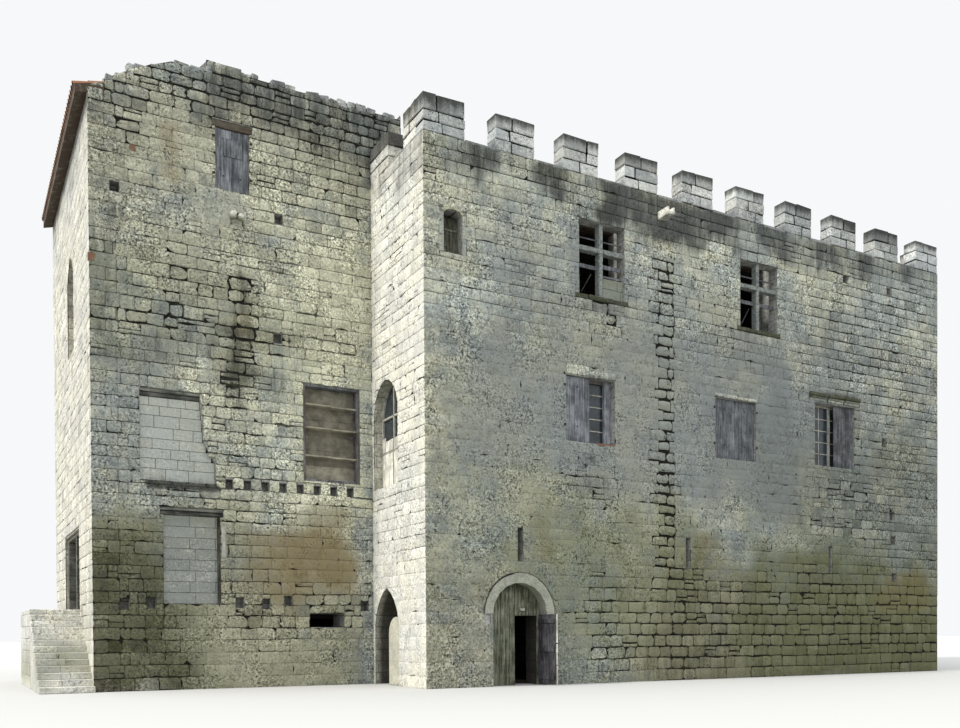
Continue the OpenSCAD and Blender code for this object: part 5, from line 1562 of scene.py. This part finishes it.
def drip():
    """Three stones end to end, each in three steps that stand out less and less."""
    heap = Heap()
    rng = random.Random(52)
    place = on_front(THIRD_X, DRIP_Z)
    cuts = (-DRIP_HALF, -0.35, 0.42, DRIP_HALF)
    for x0, x1 in zip(cuts, cuts[1:]):
        tone = (rng.uniform(0.20, 0.32), 0.4, 0)
        box(heap, (x0 + 0.003, -0.110, 0.14), (x1 - 0.003, 0.17, 0.240), tone, place, 0.02, 0.012, rng)
        box(heap, (x0 + 0.02, -0.070, 0.07), (x1 - 0.02, 0.17, 0.15), (0.44, 0.4, 0), place, 0.02, 0.006, rng)
        box(heap, (x0 + 0.03, -0.035, 0.0), (x1 - 0.03, 0.17, 0.08), (0.52, 0.4, 0), place, 0.01, 0.004, rng)
    top = DRIP_Z + 0.10
    zones = {"black": ((0.60, 12, 17, top, 9.5, 0.08),), "green": ((0.45, 12, 17, top - 0.05, 9.5, 0.1),)}
    heap.make("moulded_drip", "wall_stone", SHADE_STONE, zones, replaces=("drip_mould",))


def plank_leaf(heap, place, x0, x1, h, front, t, rng, base):
    """A leaf of upright planks with small gaps, and three ledges behind them."""
    n = max(2, round((x1 - x0) / 0.17))
    w = (x1 - x0) / n
    for i in range(n):
        tone = (base + rng.uniform(-0.12, 0.12), rng.uniform(0.0, 0.6), 0)
        foot = 0.006 + rng.uniform(0.0, 0.02)
        lo = (x0 + i * w + 0.003, front + rng.uniform(0, 0.004), foot)
        hi = (x0 + (i + 1) * w - 0.003, front + t * 0.62, h - 0.006 - rng.uniform(0, 0.012))
        box(heap, lo, hi, tone, place, 0.004, 0.002, rng)
    for z in (0.16, h / 2 - 0.05, h - 0.26):
        lo, hi = (x0 + 0.02, front + t * 0.6, z), (x1 - 0.02, front + t, z + 0.11)
        box(heap, lo, hi, (base - 0.1, 0.3, 0), place, 0.004)


def shutters():
    """Plank leaves, and the iron pins and nails that hold them."""
    rng = random.Random(53)
    heap, pins = Heap(), Heap()
    front, t = 0.04, 0.04

    def pin(place, x, z, size, face):
        lo, hi = (x - size, face - 0.012, z - size), (x + size, face + 0.02, z + size)
        box(pins, lo, hi, place=place, cut=0.006)

    def leaf(place, side, w, h, base=0.5):
        half = w / 2 - 0.003
        x0 = -w / 2 if side < 0 else w / 2 - half
        plank_leaf(heap, place, x0, x0 + half, h, front, t, rng, base)
        for z in (0.24 * h, 0.84 * h):
            pin(place, side * (w / 2 + 0.045), z, 0.034, -PROUD)
            pin(place, side * w * 0.25, z, 0.020, front)

    def pair(place, w, h, left=0.5, right=0.5):
        leaf(place, -1, w, h, left)
        leaf(place, 1, w, h, right)

    leaf(on_front(MID_X[0], MID_SILL), -1, MID_W, MID_H, 0.60)
    pair(on_front(MID_X[1], MID_SILL), MID_W, MID_H, 0.46, 0.36)
    leaf(on_front(THIRD_X, THIRD_SILL), 1, THIRD_W, THIRD_H, 0.29)
    for y in SIDE_Y:
        pair(on_right(y, MID_SILL), MID_W, MID_H)
    for x in MID_X + (THIRD_X, RIDGE_X):
        pair(on_back(x, MID_SILL), MID_W, MID_H)
    pair(on_back(RIDGE_X, TOP_Z), TOP_W, TOP_H)
    pair(on_wing_front(TOP_MID, TOP_Z), TOP_W, TOP_H, 0.64, 0.56)
    heap.make("plank_shutters", "grey_wood", GREY_WOOD, replaces=("window_shutters",))
    patch_and_posts(front, rng)
    lintel_stones(rng)
    red_tiles(rng)
    pins.make("shutter_pins", "hinge_iron", IRON)


def patch_and_posts(back, rng):
    """A board nailed over the wing's top shutter, and thin posts at its sides."""
    heap = Heap()
    place = on_wing_front(TOP_X, TOP_Z)
    for x0, x1, z0, z1 in ((0.22, 0.70, 0.90, 1.36), (0.803, 0.867, 0.002, 1.50), (0.003, 0.050, 0.10, 1.58)):
        box(heap, (x0, 0.020, z0), (x1, back, z1), (0.42, 0.2, 0), place, 0.004, 0.002, rng)
    heap.make("patch_and_posts", "grey_wood", GREY_WOOD)


def lintel_stones(rng):
    """Pale stones over the first two middle windows, as from, to, low and high."""
    heap = Heap()
    head = MID_SILL + MID_H
    for x0, x1, low, high in (
        (4.23, 4.96, 0.035, 0.285), (4.985, 5.86, 0.0, 0.19),
        (9.55, 10.42, 0.02, 0.13), (10.425, 11.22, 0.01, 0.11),
    ):
        tone = (0.60 + rng.uniform(-0.03, 0.02), 0.1, 0)
        box(heap, (x0, -PROUD - 0.022, head + low), (x1, 0.03, head + high), tone, HERE, 0.008, 0.006, rng)
    # Painted shade: the black zone darkens the stones' lower edge, as the shade of the window opening below.
    zones = {"black": ((0.5, 4, 12, head - 0.1, head + 0.03, 0.04),)}
    heap.make("pale_lintel_stones", "arch_stone", SHADE_STONE, zones)


def red_tiles(rng):
    """Bits of red tile in the joints of the main front and the wing."""
    heap = Heap()
    for x0, x1, z0, z1, y in (
        (5.22, 5.84, 6.62, 6.665, 0), (-6.38, -6.24, 13.42, 13.56, WING_Y),
        (-7.36, -7.20, 10.52, 10.72, WING_Y), (5.30, 5.48, 6.585, 6.615, 0),
    ):
        lo, hi = (x0, y - PROUD - 0.004, z0), (x1, y + 0.03, z1)
        box(heap, lo, hi, (0.34, 0.5, 0), HERE, 0.006, 0.005, rng)
    heap.make("red_tile_pieces", "roof_tile", TILE)


def casement(heap, place, w, h, rng):
    """Two leaves of stiles and rails with glazing bars, seen through to the glass behind."""
    front, back, rail, bar = 0.242, 0.288, 0.06, 0.014
    columns = 1 if w < 1.8 else 2
    for x0, x1 in ((-w / 2, -0.002), (0.002, w / 2)):
        left, right = x0 + rail, x1 - rail
        tone = (0.5 + rng.uniform(-0.1, 0.1), 0.3, 0)
        stiles = ((x0, left, 0, h), (right, x1, 0, h))
        rails = ((left, right, 0, rail), (left, right, h - rail, h))
        for a, b, low, high in stiles + rails:
            box(heap, (a, front, low), (b, back, high), tone, place, 0.008, 0.001, rng)
        for i in range(1, 5):
            z = rail + (h - 2 * rail) * i / 5
            box(heap, (left, front + 0.008, z - bar), (right, front + 0.03, z + bar), tone, place, 0.004)
        for i in range(1, columns):
            x = x0 + rail + (x1 - x0 - 2 * rail) * i / columns
            box(heap, (x - bar, front + 0.008, rail), (x + bar, front + 0.03, h - rail), tone, place, 0.004)


def casements():
    """The casements of all middle windows, and the old lining in the first."""
    rng = random.Random(54)
    heap = Heap()
    places = [(on_front(x, MID_SILL), MID_W, MID_H) for x in MID_X]
    places += [(on_front(THIRD_X, THIRD_SILL), THIRD_W, THIRD_H)]
    places += [(on_right(y, MID_SILL), MID_W, MID_H) for y in SIDE_Y]
    places += [(on_back(x, MID_SILL), MID_W, MID_H) for x in MID_X + (THIRD_X, RIDGE_X)]
    for place, w, h in places:
        casement(heap, place, w, h, rng)
    heap.make("glazed_casements", "painted_wood", PALE_PAINT_AND_SUNLIT, replaces=("window_casements",))
    heap = Heap()
    place = on_front(MID_X[0], MID_SILL)
    half, top, back = MID_W / 2, MID_H - 0.004, 0.238
    for lo, x1, tone in (
        ((half - 0.25, 0.16, 0.004), half - 0.002, (0.85, 0.2, 0)),
        ((0.004, 0.19, MID_H - 0.09), half - 0.252, (0.50, 0.9, 0)),
    ):
        box(heap, lo, (x1, back, top), tone, place, 0.006, 0.003, rng)
    heap.make("old_window_lining", "painted_wood", GREY_WOOD)


def pointed_half_width(w, h, z, share=POINTED_ROUND):
    """Half the width of a pointed opening at a height."""
    spring = h - w * math.sqrt(share - 0.25)
    if z <= spring:
        return w / 2
    return max(math.sqrt(max((share * w) ** 2 - (z - spring) ** 2, 0)) + (0.5 - share) * w, 0)


def pointed_frame(bars, boards, place, w, h, rng):
    """A frame that follows the arch, its bars, and pale boards in the lower panes."""
    tone = (0.42, 0.3, 0)
    front, back, t = 0.222, 0.278, 0.06
    for side in (-1, 1):
        for z0, z1 in shares(0, h, 16):
            outer = [pointed_half_width(w, h, z) - 0.002 for z in (z0, z1)]
            inner = [max(x - t, 0.005) for x in outer]
            corners = [(outer[0], z0), (outer[1], z1), (inner[1], z1), (inner[0], z0)]
            corners = [(side * x, z) for x, z in corners][::side]
            if area(corners) < 0:
                corners = corners[::-1]
            if area(corners) > 1e-4:
                slab(bars, corners, front, back, tone, place, bevel=0.006)
    box(bars, (-0.03, front, 0), (0.03, back, h - 0.10), tone, place, 0.006)
    for z, _ in shares(0, h, 3):
        half = pointed_half_width(w, h, z + t) - 0.05
        box(bars, (-half, front, z), (half, back, z + t), tone, place, 0.006)
    for x0, x1 in ((-w / 2 + t, -0.03), (0.03, w / 2 - t)):
        for low, high, base, ragged in ((t, h / 3, 0.75, 0.01), (h / 3 + t, 0.52 * h, 0.62, 0.25)):
            for a, b in shares(x0, x1 - x0, 3):
                lo, hi = (a + 0.003, 0.206, low), (b - 0.003, front, high - rng.uniform(0.0, ragged))
                box(boards, lo, hi, (base + rng.uniform(-0.12, 0.12), 0.2, 0), place, 0.003)


def pointed_windows():
    bars, boards = Heap(), Heap()
    rng = random.Random(55)
    pointed_frame(bars, boards, on_return(POINTED_Y, POINTED_SILL), POINTED_W, POINTED_H, rng)
    pointed_frame(bars, boards, on_wing_left(TALL_Y, TALL_Z), TALL_W, TALL_H, rng)
    bars.make("pointed_window_frames", "painted_wood", PALE_PAINT_AND_SUNLIT, replaces=("pointed_window_bars",))
    boards.make("white_window_boards", "painted_wood", PALE_PAINT_AND_SUNLIT)


def block_rows(heap, place, x0, x1_of, z0, z1, front, back, rng, base, uneven=0.0, block=0.60):
    """Rows of blocks before a dark bed of mortar, as far as x1_of gives for a height."""
    joint = 0.006
    count = max(1, round((z1 - z0) / 0.27))
    rises = [1 + uneven * rng.uniform(-1, 1) for _ in range(count)]
    levels = z0 + np.concatenate([[0], np.cumsum(rises)]) * (z1 - z0) / sum(rises)
    for i, (low, high) in enumerate(zip(levels, levels[1:])):
        end = x1_of((low + high) / 2)
        x = x0
        while x < end - 1e-6:
            w = block * (0.82 if i % 2 else 1) * (1 + uneven * rng.uniform(-1.4, 1.4))
            if x == x0 and i % 2 and uneven:
                w = w * 0.55
            after = min(x + w, end)
            if end - after < 0.10:
                after = end
            tone = (base + rng.uniform(-0.03, 0.03), rng.random(), 0)
            outline = rect(x + joint, after - joint, low + joint, high - joint)
            slab(heap, outline, front + rng.uniform(0, 0.004), back, tone, place, bevel=0.005)
            x = after
    narrow = min(x1_of(z0 + (z1 - z0) / count * k) for k in range(count))
    box(heap, (x0, front + 0.014, z0), (narrow, back - 0.01, z1), (0.34, 0.4, 1), place, 0.002)


def blockwork():
    """Grey blocks in the two blocked windows and one light of the first cross window."""
    heap = Heap()
    rng = random.Random(56)
    wing = on_wing_front(0)
    lower_right = LOWER_X + LOWER_W

    def upper_right(z):
        return UPPER_X + UPPER_W + flare_at((z - UPPER_Z) / UPPER_H)

    block_rows(heap, wing, UPPER_X, upper_right, UPPER_Z, UPPER_Z + UPPER_H, 0.06, 0.26, rng, 0.61,
               uneven=0.22, block=0.68)
    block_rows(heap, wing, LOWER_X, lambda z: lower_right, LOWER_Z, LOWER_Z + LOWER_H, 0.06, 0.26, rng, 0.41,
               block=0.80)
    light = on_front(CROSS_X[0], CROSS_SILL)
    block_rows(heap, light, 0.065, lambda z: CROSS_W / 2, 0, 0.56, 0.035, 0.225, rng, 0.44)
    zones = {
        "green": ((0.35, -6, -4, 4.15, 4.5, 0.15), (0.55, 4.0, 6.4, 10.5, 11.4, 0.1)),
        "black": ((0.30, -6.2, -4, 5.2, 5.45, 0.2),),
    }
    heap.make("blockwork", "concrete_block", BLOCK_STONE, zones, replaces=("blocked_windows",))
    post, board = Heap(), Heap()
    lo = (lower_right - 0.07, -0.01, LOWER_Z + 0.02)
    hi = (lower_right - 0.004, 0.056, LOWER_Z + LOWER_H - 0.01)
    box(post, lo, hi, (0.22, 0.5, 0), wing, 0.006, 0.004, rng)
    post.make("old_window_post", "dark_wood", DARK_WOOD)
    lo = (lower_right + 0.03, -0.036, LOWER_Z + 1.20)
    hi = (lower_right + 0.15, 0.0, LOWER_Z + LOWER_H - 0.15)
    box(board, lo, hi, (0.36, 0.4, 0), wing, 0.005, 0.003, rng)
    board.make("pale_board", "painted_wood", PALE_PAINT_AND_SUNLIT)


def beam(heap, place, x0, x1, z0, z1, front, back, tone, rng, pieces=7):
    """A rough beam whose edges wander a little along its length."""
    cut, n = 0.015, 6
    rows = []
    for i in range(pieces + 1):
        x = x0 + (x1 - x0) * i / pieces
        p = [abs(rng.uniform(-0.008, 0.008)) for _ in range(4)]
        low, high, face = z0 + p[0], z1 - p[1], front + p[2]
        rows += [(x, face + cut, low), (x, back, low), (x, back, high)]
        rows += [(x, face + cut, high), (x, face, high - cut), (x, face, low + cut)]
    quads = loft_faces(n, pieces + 1, front=False)[0]
    ends = np.array([[0, 1, 2, 3], [0, 3, 4, 5]])
    heap.add(np.array(rows), [quads, ends, pieces * n + ends[:, ::-1]], tone, place)


def lintels():
    """Beams over the wing's windows. Those of the blocked windows are two beams, one on the other; the lower
    one is set back and painted dark, as shade under the upper one.
    """
    heap = Heap()
    rng = random.Random(57)
    front, back = on_wing_front(0), on_back(RIDGE_X)
    d = 0.30
    z = TOP_Z + TOP_H
    x0, x1 = TOP_X - LINTEL_OUT, TOP_X + TOP_W + LINTEL_OUT
    beam(heap, front, x0, x1, z, z + LINTEL_H, 0.0, d, (0.25, 0.8, 0), rng)
    for x0, x1, low in ((UPPER_X, UPPER_X + UPPER_W, UPPER_Z + UPPER_H),
                        (LOWER_X - LINTEL_OUT, LOWER_X + LOWER_W + LINTEL_OUT, LOWER_Z + LOWER_H)):
        middle = low + 0.56 * LINTEL_H
        # Painted shade: the lower beam's dark tone.
        beam(heap, front, x0, x1, low, middle, 0.035, d, (0.32, 0.3, 0), rng)
        beam(heap, front, x0, x1, middle + 0.006, low + LINTEL_H, 0.0, d, (1.30, 0.3, 0), rng, 11)
    half = TOP_W / 2 + LINTEL_OUT
    beam(heap, back, -half, half, z, z + LINTEL_H, 0.0, d, (0.4, 0.5, 0), rng)
    heap.make("rough_lintels", "grey_wood", LYING_WOOD, replaces=("wing_lintels",))


def niche():
    """The boarded back and shelves, and the frame round them."""
    boards, posts = Heap(), Heap()
    rng = random.Random(58)
    place = on_wing_front(NICHE_X, NICHE_Z)
    w, h, d, t = NICHE_W, NICHE_H, NICHE_D, 0.06
    shelves = (0.71, 1.48, 2.11)
    for z0, z1 in shares(t, h - 2 * t, 6):
        base, warmth = (0.74, 0.5) if z1 < shelves[0] else (0.46, 0.3)
        tone = (base + rng.uniform(-0.02, 0.02), warmth, 0)
        lo, hi = (t, d - 0.030 - rng.uniform(0, 0.004), z0 + 0.002), (w - t, d - 0.002, z1 - 0.002)
        box(boards, lo, hi, tone, place, 0.004)
    for x0, x1 in ((0, t + 0.01), (w - t - 0.03, w)):
        box(posts, (x0 + 0.001, 0.004, 0), (x1 - 0.001, 0.13, h), (0.42, 0.8, 0), place, 0.008, 0.004, rng)
    for z0, z1 in ((0, t), (h - t, h)):
        box(posts, (t, 0.004, z0 + 0.001), (w - t, d, z1 - 0.001), (0.50, 0.3, 0), place, 0.008, 0.004, rng)
    for z in shelves:
        sag = rng.uniform(0.01, 0.03)
        for x0, x1, drop, base in ((t, w / 2, 0, 0.80), (w / 2, w - t, sag, 0.74)):
            lo, hi = (x0, 0.02, z - 0.03 - drop), (x1, d - 0.03, z + 0.012 - drop)
            box(boards, lo, hi, (base, 0.3, 0), place, 0.006, 0.004, rng)
    left, right = w - t - 0.26, w - t - 0.02
    for z in (h - 0.72, h - 1.42):
        lean = [(left, z), (right, z + 0.10), (right, z + 0.15), (left, z + 0.05)]
        slab(posts, lean, 0.03, 0.10, (0.12, 0.2, 0), place, bevel=0.006)
    boards.make("niche_boards", "grey_wood", SHELF_WOOD, replaces=("shelf_niche",))
    posts.make("niche_posts", "grey_wood", GREY_WOOD, replaces=("shelf_niche",))


def spout_and_corbel():
    """A spout with two cheeks and a floor, and a corbel of three worn stones."""
    rng = random.Random(59)
    heap = Heap()
    place = on_front(SPOUT_X, SPOUT_Z)
    w, h, out = SPOUT_W, SPOUT_H, 0.50
    for x0, x1 in ((-w / 2, -w / 4), (w / 4, w / 2)):
        box(heap, (x0, -out + 0.03, 0.05), (x1, PARAPET_T, h), (0.60, 0.5, 0), place, 0.010, 0.004, rng)
    box(heap, (-w / 2, -out, 0.0), (w / 2, PARAPET_T, h / 2), (0.58, 0.5, 0), place, 0.012, 0.004, rng)
    heap.make("carved_spout", "arch_stone", SUN_STONE, {"black": ((0.45, 7, 8, 13.2, 13.45, 0.15),)},
              replaces=("spout_and_corbel",))
    heap = Heap()
    place = on_wing_front(TOP_MID + CORBEL_SHIFT, TOP_Z - CORBEL_DROP)
    c, half, d = CORBEL_W, CORBEL_W / 2, 0.30
    box(heap, (-half, -0.145, c * 0.40), (-0.03, d, c), (0.62, 0.5, 0), place, 0.03, 0.01, rng)
    box(heap, (0.03, -0.135, c * 0.34), (half, d, c * 0.93), (0.60, 0.5, 0), place, 0.035, 0.01, rng)
    box(heap, (-half + 0.02, -0.09, 0.0), (half - 0.02, d, c * 0.45), (0.45, 0.4, 0), place, 0.04, 0.008, rng)
    heap.make("corbel_stone", "arch_stone", SUN_STONE, {"green": ((0.9, -4.2, -3.4, 12.1, 12.32, 0.08),)})


# Doors and steps

def arch_ring(rng):
    """The ring of arch stones under a thin plaster."""
    heap = Heap()
    place = on_front(DOORWAY_MID, SPRING_Z)
    for a0, a1 in shares(0, math.pi, 9):
        far = (DOORWAY_R + RING_T - 0.004) * rng.uniform(0.965, 1.0)
        turns = ((DOORWAY_R, a0), (far, a0), (far, (a0 + a1) / 2), (far, a1), (DOORWAY_R, a1))
        corners = [(r * math.cos(a), r * math.sin(a)) for r, a in turns]
        slab(heap, corners, -0.033 + rng.uniform(0, 0.002), WALL_T, (0.5, 0.4, 0), place, bevel=0.003)
    heap.make("arch_ring_stones", "arch_stone", RING_PLASTER, replaces=("doorway_arch",))


def boarding(rng):
    """Upright boards round the door with their ledges, a strip over the door, and a pale bracket."""
    heap = Heap()
    place = on_front(DOORWAY_MID, 0)
    r = DOORWAY_R
    door_x0 = HINGE_X - PIN_GAP - LEAF_W - DOORWAY_MID
    door_x1 = door_x0 + LEAF_W
    edge, odd = -r, False
    while edge < r - 1e-6:
        after = min(edge + rng.uniform(0.08, 0.14), r)
        if r - after < 0.06:
            after = r
        for stop in (door_x0, door_x1):
            if edge < stop - 0.02 < after:
                after = stop
        over_door = edge >= door_x0 - 1e-6 and after <= door_x1 + 1e-6
        left, right, foot = edge + 0.003, after - 0.003, (DOOR_TOP if over_door else 0.0) + 0.002
        tops = [SPRING_Z + math.sqrt(max(r ** 2 - x * x, 0)) - 0.002 for x in (edge, after)]
        tone = ((1.60 if odd else 1.05) + rng.uniform(-0.12, 0.12), rng.random() * 0.4, 0)
        corners = [(left, foot), (right, foot), (right, tops[1]), (left, tops[0])]
        slab(heap, corners, 0.302 + rng.uniform(0, 0.006), 0.335, tone, place, bevel=0.004)
        edge, odd = after, not odd
    for x0, x1, z in ((-r + 0.03, r - 0.03, 1.92), (-r + 0.02, door_x0 - 0.01, 0.35)):
        box(heap, (x0, 0.325, z), (x1, 0.348, z + 0.10), (0.4, 0.2, 0), place, 0.004)
    lo, hi = (door_x0, 0.296, DOOR_TOP + 0.002), (door_x1, 0.302, DOOR_TOP + 0.035)
    box(heap, lo, hi, (0.85, 0.3, 0), place, 0.002)
    heap.make("boarding_planks", "dark_wood", DARK_WOOD, replaces=("door_boarding",))
    heap = Heap()
    box(heap, (0.16, 0.250, 2.00), (0.31, 0.300, 2.07), (0.62, 0.3, 0), place, 0.008)
    heap.make("boarding_bracket", "painted_wood", PALE_PAINT_AND_SUNLIT)


def pier():
    """The plastered pier in the pointed doorway, with a round top that keeps inside the arch."""
    heap = Heap()
    r, top = 0.45, 1.86
    centre, spring = POINTED_W / 2 - r, top - r
    right = centre + r - 0.002
    outline = [(centre - r, 0), (right, 0), (right, 1.21)]
    for i in range(11):
        a = math.pi * i / 10
        x, z = centre + r * math.cos(a), spring + r * math.sin(a)
        outline.append((min(x, pointed_half_width(POINTED_W, POINTED_DOOR_H, z, DOOR_ROUND) - 0.004), z))
    rings = [np.array([(x, y, z) for x, z in outline]) for y in (0.41, 0.085, 0.06)]
    for axis, middle, share in ((0, centre, 0.95), (2, 0.9, 0.98)):
        rings[2][:, axis] = middle + (rings[2][:, axis] - middle) * share
    loft(heap, rings, (0.5, 0.5, 0), on_return(POINTED_Y, 0), 0.004, back=True)
    heap.make("round_topped_pier", "lime_plaster", PLASTER, replaces=("pointed_doorway_pier",))


def doorway():
    rng = random.Random(60)
    arch_ring(rng)
    boarding(rng)
    pier()


def door():
    """The ledged plank leaf, whose dark boards carry painted shade, and the pale strip of painted sunlight on
    its edge, drawn about the hinge line.
    """
    heap = Heap()
    rng = random.Random(61)
    place = Place((HINGE_X, HINGE_Y, 0), DOOR_OPEN)
    x0, x1, front, back = -0.78, -0.03, 0.003, 0.003 + 0.035
    low, high, planks = 0.02, 1.90, 5
    w = (x1 - x0) / planks
    for i in range(planks):
        tone = (0.5 + rng.uniform(-0.2, 0.2), rng.uniform(0, 0.3), 0)
        lo = (x0 + i * w + (0.002 if i else 0.026), front, low + rng.uniform(0, 0.012))
        hi = (x0 + (i + 1) * w - 0.002, back, high - rng.uniform(0, 0.012))
        box(heap, lo, hi, tone, place, 0.004)
    for z in (0.14, 0.89, 1.66):
        box(heap, (-0.698, back, z + 0.002), (-0.052, back + 0.026, z + 0.118), (0.40, 0.1, 0), place, 0.006)
    heap.make("ledged_door", "dark_wood", SHADED_LEAF_WOOD, body="door", replaces=("door_leaf",))
    heap = Heap()
    # Painted sunlight: the pale strip where the sun catches the leaf's free edge.
    for z0, z1 in ((low, 0.52), (0.55, 1.10), (1.14, high)):
        box(heap, (x0, front, z0), (x0 + 0.024, back, z1), (0.72, 0.3, 0), place, 0.003, 0.001, rng)
    heap.make("door_edge_sunlit_strip", "painted_wood", PALE_PAINT_AND_SUNLIT, body="door", replaces=("door_leaf",))


def side_door(rng):
    """Three posts and a head in the wide doorway."""
    heap = Heap()
    place = Place((-WING_W + 0.06, SIDE_DOOR_Y, LANDING_Z), 90)
    d, last, head = 2 * POST_W, SIDE_DOOR_W - POST_W, SIDE_DOOR_H - POST_W
    for y in (0, last * 0.42, last):
        box(heap, (y, -d, 0), (y + POST_W, 0, head), (0.6, 0.6, 0), place, 0.012, 0.003, rng)
    box(heap, (0, -d, head), (SIDE_DOOR_W, 0, SIDE_DOOR_H - 0.002), (0.55, 0.6, 0), place, 0.012, 0.003, rng)
    heap.make("side_door_posts", "dark_wood", LYING_WOOD, replaces=("side_doorway_frame",))


def outside_steps(rng):
    """Steps of two slabs each over plain blocks, the landing's slabs, and the courses under it."""
    heap = Heap()
    w, risers, going, slab_t, shift = 1.24, 13, 0.24, 0.12, 0.3
    riser = LANDING_Z / risers
    x0, x1 = -WING_W - w, -WING_W
    for i in range(1, risers):
        y, top = SIDE_DOOR_Y - i * going, LANDING_Z - i * riser
        split = rng.uniform(0.35, 0.65) * w
        for a, b in ((x0, x0 + split), (x0 + split + 0.004, x1)):
            tone = (rng.uniform(0.46, 0.56), rng.uniform(0.3, 0.7), 0)
            box(heap, (a, y - 0.001, top - riser), (b, y + going + 0.03, top), tone, HERE, 0.014, 0.004, rng)
        if top - riser > 0.02:
            lo, hi = (x0 + 0.01, y + 0.01, 0), (x1, y + going + 0.01, top - riser + 0.01)
            box(heap, lo, hi, (0.45, 0.4, 0), HERE, 0.008)
    for y0, y1 in shares(SIDE_DOOR_Y, SIDE_DOOR_W, 3):
        for a, b in shares(x0, w, 3):
            lo = (a + 0.004, y0 + 0.004, LANDING_Z - slab_t)
            hi = (b - 0.004, y1 - 0.004, LANDING_Z - rng.uniform(0, 0.006))
            box(heap, lo, hi, (rng.uniform(0.46, 0.54), 0.5, 0), HERE, 0.012)
    columns = shares(SIDE_DOOR_Y, SIDE_DOOR_W, 6)
    for i, (z0, z1) in enumerate(shares(0, LANDING_Z - slab_t, 6)):
        for y0, y1 in columns:
            lo = (x0, y0 - (shift if i % 2 and y0 > columns[0][0] else 0) + 0.005, z0 + 0.003)
            hi = (x1, y1 - (shift if i % 2 and y1 < columns[-1][1] else 0) - 0.005, z1 - 0.003)
            box(heap, lo, hi, (rng.uniform(0.42, 0.54), rng.random(), 0), HERE, 0.014, 0.004, rng)
    heap.make("step_slabs", "sunlit_stone", SUN_STONE, {"green": ((0.5, -9, -7, -0.2, 1.0, 0.8),)},
              replaces=("outside_steps",))


def side_door_and_steps():
    rng = random.Random(62)
    side_door(rng)
    outside_steps(rng)


# Light, floor and camera

def stage():
    bpy.ops.mesh.primitive_plane_add(size=600, location=(0, 0, 0))
    floor = bpy.context.object
    floor.name = "floor"
    material, tree, shader = new_material("pale_floor", 1.0, 0.0)
    seen = add(tree, "LightPath").outputs["Is Camera Ray"]
    tree.links.new(mix(tree, seen, rgb(0.30, 0.30, 0.28), rgb(0.56, 0.56, 0.55)), shader.inputs["Base Color"])
    floor.data.materials.append(material)

    world = bpy.data.worlds.new("studio")
    bpy.context.scene.world = world
    world.use_nodes = True
    tree = world.node_tree
    tree.nodes.clear()
    path = add(tree, "LightPath").outputs
    direct = maths(tree, "MAXIMUM", path["Is Camera Ray"], path["Is Glossy Ray"])
    direct = maths(tree, "MAXIMUM", direct, path["Is Transmission Ray"])
    height = add(tree, "SeparateXYZ", {"Vector": add(tree, "TexCoord").outputs["Generated"]}).outputs[2]
    sky = fit(tree, height, -0.2, 1.0, 0.80, 1.60)
    soft = add(tree, "Background", {"Color": rgb(0.97, 0.985, 1.0), "Strength": sky})
    shown = add(tree, "Background", {"Color": rgb(0.93, 0.94, 0.95), "Strength": 1.0})
    both = add(tree, "MixShader", {0: direct, 1: soft.outputs[0], 2: shown.outputs[0]})
    out = add(tree, "OutputWorld")
    tree.links.new(both.outputs[0], out.inputs["Surface"])

    sun = bpy.data.lights.new("key", "SUN")
    sun.energy = 2.5
    sun.angle = math.radians(6)
    sun.color = (1.0, 0.97, 0.90)
    lamp = bpy.data.objects.new("key", sun)
    bpy.context.scene.collection.objects.link(lamp)
    to_sun = Vector((-0.80, 0.02, 0.62))
    lamp.rotation_euler = to_sun.to_track_quat("Z", "Y").to_euler()


# The photograph's view in pixels, and the camera's place and angles in degrees
WIDE, HIGH = 960, 728
FOCAL_PX, HORIZON_ROW, MIDDLE_COLUMN = 970.6, 634.8, 516.5
EYE, YAW, PITCH, ROLL = (-16.055, -28.245, 1.355), 30.288, -0.727, -0.311


def camera():
    data = bpy.data.cameras.new("camera")
    data.sensor_width = 36.0
    data.lens = FOCAL_PX / WIDE * data.sensor_width
    data.shift_y = (HORIZON_ROW - HIGH / 2) / WIDE - math.tan(math.radians(PITCH)) * FOCAL_PX / WIDE
    data.shift_x = 0.5 - MIDDLE_COLUMN / WIDE
    data.clip_end = 2000
    obj = bpy.data.objects.new("camera", data)
    bpy.context.scene.collection.objects.link(obj)
    obj.location = EYE
    aim = Euler((math.radians(90 + PITCH), 0, math.radians(-YAW))).to_matrix()
    obj.rotation_euler = (aim @ Matrix.Rotation(math.radians(ROLL), 3, "Z")).to_euler()
    bpy.context.scene.camera = obj


front_face()
return_face()
wing_front_face()
broken_top_stones()
left_face()
right_face()
back_faces()
inner_right_face()
battlements()
roofs()
cross_windows()
small_window()
drip()
shutters()
casements()
pointed_windows()
blockwork()
lintels()
niche()
spout_and_corbel()
doorway()
door()
side_door_and_steps()
stage()
camera()
bpy.context.scene.view_settings.view_transform = "Standard"
